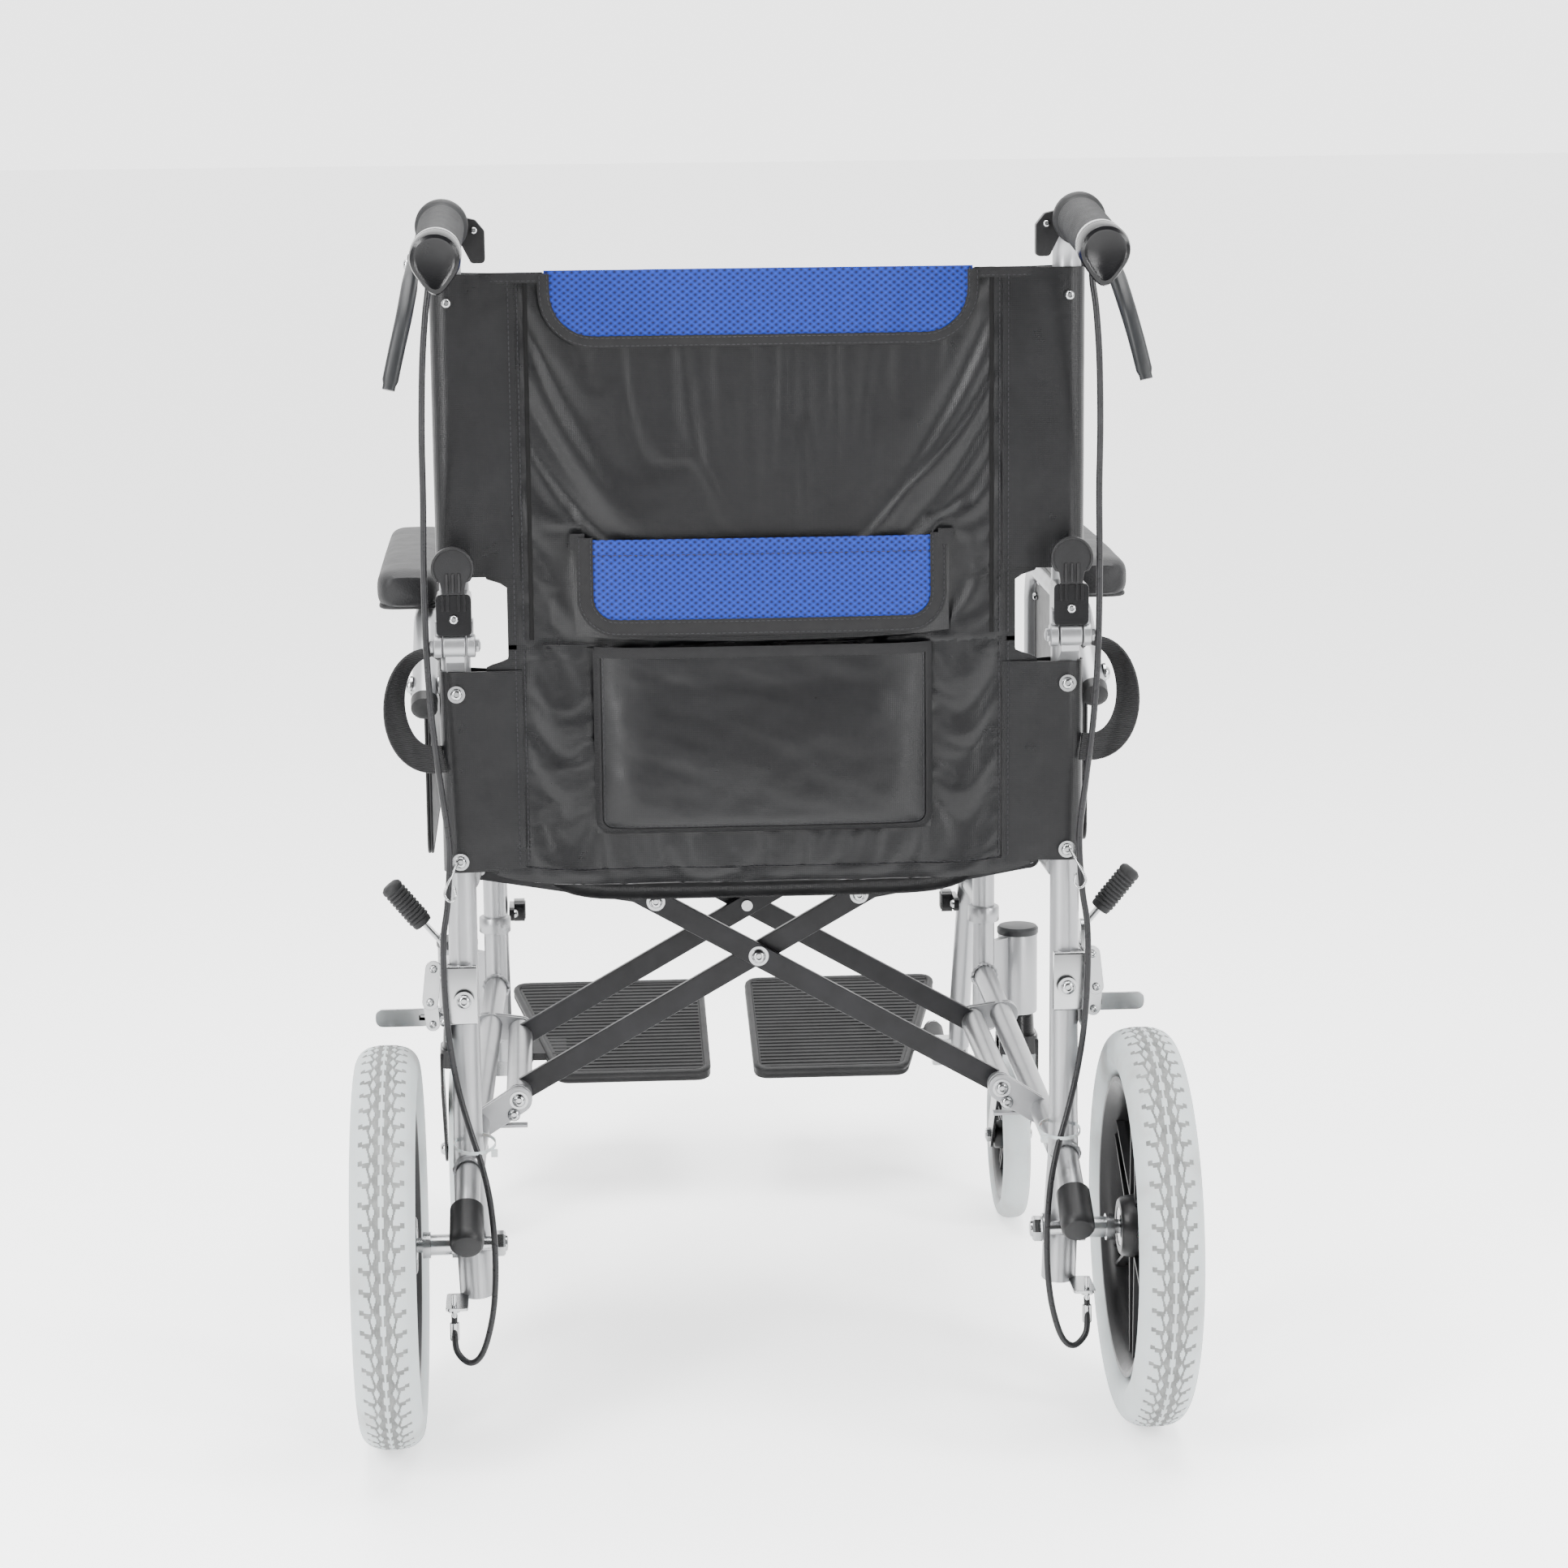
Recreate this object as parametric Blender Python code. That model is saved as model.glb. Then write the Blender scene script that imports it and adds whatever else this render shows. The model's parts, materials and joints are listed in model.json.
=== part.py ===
"""Folding transport wheelchair.

Frame: origin on the floor below the middle of the chair, +Z up, the chair faces +Y.
The dimensions below count Y from the back posts; build() then moves everything by MIDDLE_Y.
The right-hand side (+X) is modelled once and mirrored, so every pair shares one shape.
"""
import math

import bmesh
import bpy
from mathutils import Matrix, Vector

# ---- driving dimensions, in metres ----
MIDDLE_Y = 0.2967       # from the back posts' datum to the middle of the chair's length
POST_X = 0.228          # back post from the middle
POST_Y = 0.006          # back post axis
POST_R = 0.011
FRONT_X = 0.2113        # front post from the middle
FRONT_Y = 0.408
TUBE_R = 0.0095
RAIL_X = 0.216          # seat rail
RAIL_Z = 0.430
LOWER_REAR_Z = 0.2075
LOWER_FRONT_Z = 0.250
LINK_X = 0.206          # upper pivots of the side links
LINK_Z = 0.417
SEAT_X = 0.205          # seat tube on the cross
SEAT_Z = 0.4595
PIVOT_X = 0.190         # lower pivots of the cross
PIVOT_Z = 0.235
CROSS_Z = 0.343         # where the cross members meet
BACK_AXIS_Y = -0.0205   # half-fold hinge of the back
BACK_AXIS_Z = 0.6126
WHEEL_X = 0.288
WHEEL_Y = -0.018
WHEEL_R = 0.1525
CASTER_R = 0.075
SWIVEL_X = 0.245
SWIVEL_Y = 0.440
CASTER_AXLE_Y = 0.505
HANGER_TILT = math.radians(13.0)
FLIP_X = 0.192          # footplate hinge
FLIP_Y = 0.640
FLIP_Z = 0.1268
ARM_X = 0.253
ARM_PIVOT_Y = 0.045
ARM_PIVOT_Z = 0.572
LOCK_Z = 0.342
LEVER_Y = -0.0385        # brake lever pivot
LEVER_Z = 0.8925
GAP = 0.0005            # running clearance between pieces that touch

CROSS_ANGLE = math.atan2(CROSS_Z - PIVOT_Z, PIVOT_X)
HANGER_X = FRONT_X

PAINTS = {
    "frame_silver": ((0.56, 0.57, 0.58, 1.0), 0.35, 0.85),
    "zinc": ((0.66, 0.66, 0.65, 1.0), 0.3, 1.0),
    "black_metal": ((0.02, 0.02, 0.022, 1.0), 0.45, 0.4),
    "black_plastic": ((0.018, 0.018, 0.02, 1.0), 0.5, 0.0),
    "grey_plastic": ((0.42, 0.43, 0.44, 1.0), 0.4, 0.0),
    "black_fabric": ((0.02, 0.021, 0.024, 1.0), 0.8, 0.0),
    "blue_mesh": ((0.02, 0.08, 0.35, 1.0), 0.8, 0.0),
    "pale_tyre": ((0.66, 0.67, 0.68, 1.0), 0.6, 0.0),
    "arm_pad": ((0.05, 0.05, 0.055, 1.0), 0.6, 0.0),
}


def clear_scene():
    for obj in list(bpy.data.objects):
        bpy.data.objects.remove(obj, do_unlink=True)


def make_materials():
    made = {}
    for name, (colour, rough, metal) in PAINTS.items():
        mat = bpy.data.materials.new(name)
        mat.use_nodes = True
        shader = mat.node_tree.nodes["Principled BSDF"]
        shader.inputs["Base Color"].default_value = colour
        shader.inputs["Roughness"].default_value = rough
        shader.inputs["Metallic"].default_value = metal
        mat.diffuse_color = colour
        made[name] = mat
    return made


# ---- shape helpers: each returns a closed mesh in world coordinates ----
def finish_mesh(bm):
    bmesh.ops.recalc_face_normals(bm, faces=bm.faces)
    mesh = bpy.data.meshes.new("shape")
    bm.to_mesh(mesh)
    bm.free()
    return mesh


def sweep(points, radius, sides=10):
    """Round bar along a list of points, with mitred corners and flat ends."""
    path = [Vector(p) for p in points]
    bm = bmesh.new()
    rings = []
    normal = None
    for i, here in enumerate(path):
        before = (here - path[i - 1]).normalized() if i else None
        after = (path[i + 1] - here).normalized() if i + 1 < len(path) else None
        tangent = ((before or after) + (after or before)).normalized()
        if normal is None:
            side = Vector((1, 0, 0)) if abs(tangent.x) < 0.8 else Vector((0, 0, 1))
            normal = tangent.cross(side).normalized()
        normal = (normal - tangent * normal.dot(tangent)).normalized()
        across = tangent.cross(normal)
        ring = []
        for k in range(sides):
            angle = 2 * math.pi * k / sides
            ring.append(bm.verts.new(here + radius * (math.cos(angle) * normal + math.sin(angle) * across)))
        rings.append(ring)
    for low, high in zip(rings, rings[1:]):
        for k in range(sides):
            bm.faces.new((low[k], low[(k + 1) % sides], high[(k + 1) % sides], high[k]))
    bm.faces.new(rings[0])
    bm.faces.new(rings[-1])
    return finish_mesh(bm)


def rod(start, end, radius, sides=12):
    return sweep([start, end], radius, sides)


def rounded_path(points, radius, steps=4):
    """Replace each inner corner of a polyline by an arc of the given bend radius."""
    path = [Vector(p) for p in points]
    out = [path[0]]
    for a, b, c in zip(path, path[1:], path[2:]):
        into = (b - a).normalized()
        away = (c - b).normalized()
        turn = into.angle(away)
        cut = radius * math.tan(turn / 2)
        centre = b + (away - into).normalized() * (radius / math.cos(turn / 2))
        first = b - into * cut - centre
        axis = into.cross(away).normalized()
        for k in range(steps + 1):
            out.append(centre + Matrix.Rotation(turn * k / steps, 3, axis) @ first)
    out.append(path[-1])
    return out


def prism(outline, axis, low, high):
    """Extrude a flat outline along X, Y or Z; the outline is in the other two coordinates, in order."""
    place = {
        "x": lambda u, v, w: (w, u, v),
        "y": lambda u, v, w: (u, w, v),
        "z": lambda u, v, w: (u, v, w),
    }[axis]
    bm = bmesh.new()
    ends = [[bm.verts.new(place(u, v, w)) for u, v in outline] for w in (low, high)]
    count = len(outline)
    bm.faces.new(ends[0])
    bm.faces.new(ends[1])
    for k in range(count):
        nxt = (k + 1) % count
        bm.faces.new((ends[0][k], ends[0][nxt], ends[1][nxt], ends[1][k]))
    return finish_mesh(bm)


def block(low, high, bevel=0.0):
    bm = bmesh.new()
    bmesh.ops.create_cube(bm, size=1.0)
    size = Vector(high) - Vector(low)
    middle = (Vector(high) + Vector(low)) / 2
    for vert in bm.verts:
        vert.co = Vector((vert.co.x * size.x, vert.co.y * size.y, vert.co.z * size.z)) + middle
    if bevel:
        bmesh.ops.bevel(bm, geom=list(bm.edges), offset=bevel, segments=1, affect="EDGES")
    return finish_mesh(bm)


def turned(profile, centre, sides, axis="x"):
    """Ring made by turning a closed profile of (radius, offset) points round an axis."""
    bm = bmesh.new()
    cx, cy, cz = centre
    rings = []
    for k in range(sides):
        angle = 2 * math.pi * k / sides
        c, s = math.cos(angle), math.sin(angle)
        if axis == "x":
            ring = [bm.verts.new((cx + h, cy + r * c, cz + r * s)) for r, h in profile]
        elif axis == "y":
            ring = [bm.verts.new((cx + r * c, cy + h, cz + r * s)) for r, h in profile]
        else:
            ring = [bm.verts.new((cx + r * c, cy + r * s, cz + h)) for r, h in profile]
        rings.append(ring)
    count = len(profile)
    for k in range(sides):
        a, b = rings[k], rings[(k + 1) % sides]
        for j in range(count):
            nxt = (j + 1) % count
            bm.faces.new((a[j], a[nxt], b[nxt], b[j]))
    return finish_mesh(bm)


def round_outline(points, radius, steps=3):
    """Round the corners of a flat outline given anticlockwise."""
    out = []
    count = len(points)
    for i in range(count):
        a, b, c = (Vector(points[(i + k - 1) % count]) for k in range(3))
        into = (b - a).normalized()
        away = (c - b).normalized()
        turn = into.angle_signed(away, 0.0)
        if abs(turn) < 0.05:
            out.append(tuple(b))
            continue
        cut = radius * math.tan(abs(turn) / 2)
        start = b - into * cut
        end = b + away * cut
        for k in range(steps + 1):
            t = k / steps
            near = start.lerp(b, t)
            far = b.lerp(end, t)
            out.append(tuple(near.lerp(far, t)))
    return out


def circle_outline(centre, radius, sides=16, start=0.0, turn=2 * math.pi):
    full = abs(turn - 2 * math.pi) < 1e-6
    last = sides if full else sides + 1
    points = []
    for k in range(last):
        angle = start + turn * k / sides
        points.append((centre[0] + radius * math.cos(angle), centre[1] + radius * math.sin(angle)))
    return points


def capsule_outline(a, b, radius, steps=6):
    """Flat bar with round ends between two flat points."""
    ax, ay = a
    bx, by = b
    heading = math.atan2(by - ay, bx - ax)
    first = circle_outline(b, radius, steps, heading - math.pi / 2, math.pi)
    second = circle_outline(a, radius, steps, heading + math.pi / 2, math.pi)
    return first + second


def moved(mesh, matrix):
    mesh.transform(matrix)
    return mesh


def about(point, angle, axis):
    """Turn by an angle about an axis through a point."""
    shift = Matrix.Translation(Vector(point))
    return shift @ Matrix.Rotation(angle, 4, axis) @ shift.inverted()


def join_solids(pieces, cuts=()):
    """One closed body: the pieces united, less the cuts."""
    base = bpy.data.objects.new("base", pieces[0])
    bpy.context.scene.collection.objects.link(base)
    helpers = [base]
    for operation, meshes in (("UNION", pieces[1:]), ("DIFFERENCE", cuts)):
        for mesh in meshes:
            tool = bpy.data.objects.new("tool", mesh)
            bpy.context.scene.collection.objects.link(tool)
            helpers.append(tool)
            change = base.modifiers.new("cut", "BOOLEAN")
            change.operation = operation
            change.solver = "EXACT"
            change.object = tool
    graph = bpy.context.evaluated_depsgraph_get()
    result = bpy.data.meshes.new_from_object(base.evaluated_get(graph))
    for helper in helpers:
        bpy.data.objects.remove(helper, do_unlink=True)
    bm = bmesh.new()
    bm.from_mesh(result)
    bmesh.ops.remove_doubles(bm, verts=bm.verts, dist=0.00002)
    bmesh.ops.dissolve_degenerate(bm, edges=bm.edges, dist=0.00002)
    bm.to_mesh(result)
    bm.free()
    return result


def place(name, mesh, material, origin=(0.0, 0.0, 0.0)):
    """Add one named sub-part, its origin on its joint's axis."""
    shape = mesh.copy()
    shape.transform(Matrix.Translation(-Vector(origin)))
    shape.materials.clear()
    shape.materials.append(MATERIALS[material])
    shape.shade_smooth()
    shape.set_sharp_from_angle(angle=math.radians(35))
    obj = bpy.data.objects.new(name, shape)
    obj.location = origin
    bpy.context.scene.collection.objects.link(obj)
    return obj


def place_pair(name, mesh, material, origin=(0.0, 0.0, 0.0)):
    """Add a right-hand sub-part and its mirror image on the left."""
    place(name + "_right", mesh, material, origin)
    mirror = mesh.copy()
    mirror.transform(Matrix.Scale(-1.0, 4, Vector((1, 0, 0))))
    mirror.flip_normals()
    place(name + "_left", mirror, material, (-origin[0], origin[1], origin[2]))


# ---- right-hand side frame ----
def side_frame():
    post = rod((POST_X, POST_Y, 0.176), (POST_X, POST_Y, BACK_AXIS_Z - 0.001), POST_R)
    axle_plate = prism(
        capsule_outline((POST_X - 0.004, 0.1215), (POST_X - 0.004, 0.1665), 0.0133),
        "y", WHEEL_Y - 0.012, POST_Y + 0.010)
    tipping = sweep(rounded_path([
        (POST_X, POST_Y, 0.215),
        (POST_X + 0.0005, -0.030, 0.196),
        (POST_X + 0.001, -0.060, 0.1785)], 0.03, 2), TUBE_R)
    lower_rail = rod((POST_X - 0.003, POST_Y + 0.004, LOWER_REAR_Z), (FRONT_X, FRONT_Y, LOWER_FRONT_Z), TUBE_R)
    seat_rail = rod((POST_X - 0.004, POST_Y + 0.004, RAIL_Z), (FRONT_X + 0.001, FRONT_Y, RAIL_Z), TUBE_R)
    front_post = rod((FRONT_X, FRONT_Y, 0.200), (FRONT_X, FRONT_Y, 0.478), TUBE_R)
    housing = rod((SWIVEL_X, SWIVEL_Y, 0.206), (SWIVEL_X, SWIVEL_Y, 0.284), 0.017, 16)
    gusset = moved(block((-0.004, -0.0035, 0.214), (0.046, 0.0035, 0.276)), Matrix.Translation(
        (FRONT_X, FRONT_Y, 0.0)) @ Matrix.Rotation(math.atan2(SWIVEL_Y - FRONT_Y, SWIVEL_X - FRONT_X), 4, "Z"))
    pieces = [post, axle_plate, tipping, lower_rail, seat_rail, front_post, housing, gusset]
    for y_low, y_high, pin_y, head_y in ((0.087, 0.0955, 0.104, 0.0855), (0.3045, 0.313, 0.296, 0.3145)):
        rail_z = LOWER_REAR_Z + (LOWER_FRONT_Z - LOWER_REAR_Z) * (y_low - POST_Y) / (FRONT_Y - POST_Y)
        pieces.append(prism(capsule_outline((PIVOT_X, PIVOT_Z), (RAIL_X + 0.003, rail_z), 0.0105), "y", y_low, y_high))
        pieces.append(rod((PIVOT_X, (y_low + y_high) / 2, PIVOT_Z), (PIVOT_X, pin_y, PIVOT_Z), 0.0045, 10))
        pieces.append(rod((PIVOT_X + 0.004, head_y - 0.0025, 0.2235), (PIVOT_X + 0.004, head_y + 0.0025, 0.2235), 0.006, 6))
    pieces.append(prism(capsule_outline((LINK_X, LINK_Z), (RAIL_X + 0.003, RAIL_Z), 0.009), "y", 0.1275, 0.1315))
    pieces.append(rod((LINK_X, 0.1300, LINK_Z), (LINK_X, 0.1190, LINK_Z), 0.0035, 10))
    # hinge barrel of the folding back, on a saddle behind the post
    barrel = rod((0.2195, BACK_AXIS_Y, BACK_AXIS_Z), (0.2365, BACK_AXIS_Y, BACK_AXIS_Z), 0.0085, 16)
    saddle = block((0.2205, BACK_AXIS_Y - 0.002, 0.5985), (0.2355, POST_Y - 0.004, BACK_AXIS_Z - 0.002), 0.001)
    pieces += [barrel, saddle]
    # armrest pivot plate and its bush, and the front rest for the armrest leg
    pieces.append(block((0.2335, POST_Y, 0.557), (0.2385, ARM_PIVOT_Y + 0.010, 0.588), 0.001))
    pieces.append(rod((0.236, ARM_PIVOT_Y, ARM_PIVOT_Z), (ARM_X - TUBE_R - GAP, ARM_PIVOT_Y, ARM_PIVOT_Z), 0.008, 14))
    pieces.append(block((RAIL_X, 0.376, RAIL_Z - 0.006), (ARM_X + 0.0105, 0.398, RAIL_Z + 0.008), 0.0015))
    for z in (0.574, 0.447):
        pieces.append(rod((POST_X, POST_Y, z), (POST_X, POST_Y - POST_R - 0.005, z), 0.0042, 8))
    stem_bore = rod((SWIVEL_X, SWIVEL_Y, 0.190), (SWIVEL_X, SWIVEL_Y, 0.272), 0.0066, 12)
    axle_bore = rod((0.190, WHEEL_Y, WHEEL_R), (0.260, WHEEL_Y, WHEEL_R), 0.0064, 12)
    pin_bore = rod((0.20, BACK_AXIS_Y, BACK_AXIS_Z), (0.26, BACK_AXIS_Y, BACK_AXIS_Z), 0.0044, 10)
    return join_solids(pieces, [stem_bore, axle_bore, pin_bore])


def tip_cap():
    cap = rod((POST_X + 0.001, -0.046, 0.1868), (POST_X + 0.001, -0.0775, 0.1684), 0.013, 18)
    bore = rod((POST_X + 0.0009, -0.028, 0.1973), (POST_X + 0.001, -0.0605, 0.1782), TUBE_R + GAP, 12)
    return join_solids([cap], [bore])


def webbing_loop():
    outer = []
    inner = []
    steps = 10
    for k in range(steps + 1):
        t = math.pi * k / steps
        x = 0.2435 + 0.032 * math.sin(t)
        z = 0.5645 + 0.0415 * math.cos(t)
        outer.append((x, z))
        inner.append((x - 0.0022 if 0 < k < steps else x, z - 0.0022 * math.cos(t)))
    return prism(outer + inner[::-1], "y", -0.012, 0.010)


# ---- wheels ----
def rear_axle():
    nut = rod((0.1985, WHEEL_Y, WHEEL_R), (0.2055, WHEEL_Y, WHEEL_R), 0.0105, 6)
    shaft = rod((0.2015, WHEEL_Y, WHEEL_R), (0.3150, WHEEL_Y, WHEEL_R), 0.0059, 12)
    spacer = rod((0.2385, WHEEL_Y, WHEEL_R), (WHEEL_X - 0.0245, WHEEL_Y, WHEEL_R), 0.0140, 18)
    outer_nut = rod((WHEEL_X + 0.0206, WHEEL_Y, WHEEL_R), (WHEEL_X + 0.0265, WHEEL_Y, WHEEL_R), 0.0090, 6)
    return join_solids([shaft, nut, spacer, outer_nut])


def spoked_rim(centre, rim_r, rim_half, hub_r, hub_half, bore_r, spokes, spoke_w, sides):
    """Rim ring, hub with a bore, and spokes, as one moulding."""
    x, y, z = centre
    lip = 0.35 * rim_half
    rim = turned([
        (rim_r, -rim_half), (rim_r, rim_half), (rim_r - lip, rim_half),
        (rim_r - 2 * lip, 0.45 * rim_half), (rim_r - 2 * lip, -0.45 * rim_half), (rim_r - lip, -rim_half),
    ], centre, sides)
    hub = rod((x - hub_half, y, z), (x + hub_half, y, z), hub_r, 18)
    pieces = [rim, hub]
    for k in range(spokes):
        arm = block((x - 0.35 * rim_half, y - spoke_w / 2, z + 0.5 * hub_r),
                    (x + 0.35 * rim_half, y + spoke_w / 2, z + rim_r - 1.4 * lip))
        pieces.append(moved(arm, about(centre, 2 * math.pi * k / spokes, "X")))
    bore = rod((x - 2 * hub_half, y, z), (x + 2 * hub_half, y, z), bore_r, 12)
    return join_solids(pieces, [bore])


def tyre(centre, outer_r, height, half_width, sides, steps=12):
    """Solid tyre with a rounded tread and a flat inner seat."""
    profile = []
    middle = outer_r - height / 2
    for k in range(steps):
        angle = 2 * math.pi * (k + 0.5) / steps
        c, s = math.cos(angle), math.sin(angle)
        radius = middle + height / 2 * math.copysign(abs(c) ** 0.7, c)
        profile.append((radius, half_width * math.copysign(abs(s) ** 0.7, s)))
    reach = max(r for r, _ in profile)
    profile = [(r + (outer_r - reach if r > middle else 0.0), h) for r, h in profile]
    return turned(profile, centre, sides)


def caster_fork():
    leg_x = 0.0148
    crown = block((SWIVEL_X - 0.0172, SWIVEL_Y - 0.016, 0.170), (SWIVEL_X + 0.0172, SWIVEL_Y + 0.022, 0.188), 0.003)
    collar = rod((SWIVEL_X, SWIVEL_Y, 0.186), (SWIVEL_X, SWIVEL_Y, 0.2050), 0.014, 16)
    stem = rod((SWIVEL_X, SWIVEL_Y, 0.200), (SWIVEL_X, SWIVEL_Y, 0.268), 0.0060, 12)
    pieces = [crown, collar, stem]
    outline = [(SWIVEL_Y - 0.014, 0.182), (SWIVEL_Y - 0.014, 0.150)]
    outline += circle_outline((CASTER_AXLE_Y, CASTER_R), 0.011, 8, math.radians(205), math.radians(190))
    outline += [(SWIVEL_Y + 0.0205, 0.182)]
    for side in (-1, 1):
        low, high = sorted((SWIVEL_X + side * leg_x, SWIVEL_X + side * (leg_x + 0.0024)))
        pieces.append(prism(outline, "x", low, high))
        head = SWIVEL_X + side * (leg_x + 0.0058)
        pieces.append(rod((SWIVEL_X + side * leg_x, CASTER_AXLE_Y, CASTER_R), (head, CASTER_AXLE_Y, CASTER_R), 0.0065, 6))
    bolt = rod((SWIVEL_X - 0.018, CASTER_AXLE_Y, CASTER_R), (SWIVEL_X + 0.018, CASTER_AXLE_Y, CASTER_R), 0.0039, 10)
    pieces.append(bolt)
    return join_solids(pieces)


# ---- folding cross ----
def cross_member(side, bar_rear, bar_front):
    """Lower tube at the side given, two flat bars, and the seat tube at the other side."""
    low = (side * PIVOT_X, PIVOT_Z)
    high = (-side * SEAT_X, SEAT_Z)
    lower_tube = rod((low[0], 0.0985, low[1]), (low[0], 0.3015, low[1]), 0.0100, 14)
    seat_tube = rod((high[0], 0.028, high[1]), (high[0], 0.390, high[1]), 0.0102, 14)
    pieces = [lower_tube, seat_tube]
    for y in (bar_rear, bar_front):
        pieces.append(prism(capsule_outline(low, high, 0.0088, 5), "y", y, y + 0.006))
    bores = [
        rod((low[0], 0.09, low[1]), (low[0], 0.1075, low[1]), 0.0050, 10),
        rod((low[0], 0.2925, low[1]), (low[0], 0.31, low[1]), 0.0050, 10),
    ]
    link_x = -side * 0.080
    link_z = CROSS_Z + 0.080 * math.tan(CROSS_ANGLE)
    pieces.append(rod((link_x, bar_rear - 0.003, link_z), (link_x, bar_rear + 0.0075, link_z), 0.0055, 8))
    if side > 0:
        for y_low, y_high in ((bar_rear - 0.003, bar_rear + 0.019), (bar_front - 0.0130, bar_front + 0.009)):
            pieces.append(rod((0.0, y_low, CROSS_Z), (0.0, y_high, CROSS_Z), 0.0048, 12))
    else:
        for y in (bar_rear, bar_front):
            bores.append(rod((0.0, y - 0.01, CROSS_Z), (0.0, y + 0.02, CROSS_Z), 0.0053, 12))
    return join_solids(pieces, bores)


def side_link():
    start = (LINK_X, LINK_Z)
    end = (0.0800, CROSS_Z + 0.080 * math.tan(CROSS_ANGLE))
    plate = prism(capsule_outline(start, end, 0.0075, 5), "y", 0.1225, 0.1265)
    pin_hole = rod((start[0], 0.11, start[1]), (start[0], 0.14, start[1]), 0.0040, 10)
    return join_solids([plate], [pin_hole])


# ---- folding back ----
def grip_point(y):
    """Point on the sloping handle at a given Y."""
    return Vector((POST_X + 0.014 * (POST_Y - y), y, 0.922 + (y + 0.038) * 0.133))


def back_post():
    tube = sweep(rounded_path([
        (POST_X, POST_Y, BACK_AXIS_Z + 0.0010),
        grip_point(POST_Y),
        grip_point(-0.168)], 0.036, 5), POST_R)
    housing = block((0.2155, BACK_AXIS_Y - 0.006, 0.6225), (0.2405, POST_Y - 0.0068, 0.650), 0.0028)
    pieces = [tube, housing]
    ear = capsule_outline((BACK_AXIS_Y, BACK_AXIS_Z), (BACK_AXIS_Y + 0.003, 0.6300), 0.0085)
    for low, high in ((0.2125, 0.2190), (0.2370, 0.2435)):
        pieces.append(prism(ear, "x", low, high))
    pieces.append(rod((0.2105, BACK_AXIS_Y, BACK_AXIS_Z), (0.2455, BACK_AXIS_Y, BACK_AXIS_Z), 0.0040, 10))
    pieces.append(rod((POST_X, POST_Y, 0.8625), (POST_X, POST_Y - POST_R - 0.005, 0.8625), 0.0042, 8))
    return join_solids(pieces)


def release_lever():
    """Sprung paddle above the locking block of a folding post."""
    neck = block((0.2215, BACK_AXIS_Y - 0.0045, 0.6510), (0.2345, BACK_AXIS_Y + 0.0035, 0.670), 0.001)
    disc = prism(circle_outline((POST_X, 0.672), 0.0155, 18), "y", BACK_AXIS_Y - 0.0085, BACK_AXIS_Y - 0.0035)
    return join_solids([neck, disc])


def hand_grip():
    sleeve = rod(grip_point(-0.046), grip_point(-0.172), 0.0165, 20)
    ring = rod(grip_point(-0.046), grip_point(-0.056), 0.0190, 20)
    cap = rod(grip_point(-0.161), grip_point(-0.1755), 0.0182, 20)
    bore = rod(grip_point(-0.030), grip_point(-0.1690), POST_R + GAP, 14)
    return join_solids([sleeve, ring, cap], [bore])


def brake_mount():
    ring = rod(grip_point(-0.0375), grip_point(-0.0452), 0.0160, 18)
    carrier = block((0.2330, -0.0422, 0.8855), (0.2462, -0.0342, 0.9085), 0.0015)
    pin = rod((0.2400, LEVER_Y, LEVER_Z), (0.2555, LEVER_Y, LEVER_Z), 0.0030, 8)
    bore = rod(grip_point(-0.02), grip_point(-0.06), POST_R + GAP, 14)
    return join_solids([ring, carrier, pin], [bore])


def brake_lever():
    """Blade that hangs below the grip and leans outwards."""
    boss = rod((0.2468, LEVER_Y, LEVER_Z), (0.2538, LEVER_Y, LEVER_Z), 0.0075, 14)
    outline = [(LEVER_Y, 0.8850), (LEVER_Y, 0.8998), (-0.0800, 0.8935), (-0.1170, 0.8690),
               (-0.1365, 0.8160), (-0.1300, 0.8120), (-0.1225, 0.8180), (-0.1040, 0.8590), (-0.0740, 0.8795)]
    blade = prism(round_outline([(y, z) for y, z in outline[::-1]], 0.004, 2), "x", 0.2476, 0.2530)
    bm = bmesh.new()
    bm.from_mesh(blade)
    for vert in bm.verts:
        drop = max(0.0, 0.885 - vert.co.z)
        vert.co.x += 0.23 * drop
    bm.to_mesh(blade)
    bm.free()
    pin_bore = rod((0.23, LEVER_Y, LEVER_Z), (0.27, LEVER_Y, LEVER_Z), 0.0035, 10)
    return join_solids([boss, blade], [pin_bore])


CABLE_R = 0.0024
CABLE_ROUTE = (
    (0.2397, -0.0420, 0.8848), (0.2400, -0.0430, 0.8740), (0.2425, -0.0450, 0.8550), (0.2455, -0.0420, 0.8200),
    (0.2475, -0.0350, 0.7700), (0.2480, -0.0280, 0.7200), (0.2490, -0.0250, 0.6750), (0.2490, -0.0245, 0.6300),
    (0.2480, -0.0240, 0.5900), (0.2450, -0.0230, 0.5450), (0.2400, -0.0210, 0.5000), (0.2360, -0.0190, 0.4600),
    (0.2380, -0.0200, 0.4200), (0.2420, -0.0220, 0.3900), (0.2420, -0.0240, 0.3500), (0.2390, -0.0250, 0.3100),
    (0.2330, -0.0270, 0.2740), (0.2250, -0.0330, 0.2450), (0.2170, -0.0400, 0.2200), (0.2110, -0.0460, 0.1900),
    (0.2085, -0.0500, 0.1500), (0.2110, -0.0520, 0.1100), (0.2190, -0.0520, 0.0790), (0.2290, -0.0500, 0.0690),
    (0.2390, -0.0460, 0.0770), (0.2407, -0.0420, 0.0920), (0.2407, -0.0390, 0.1040),
)


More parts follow.
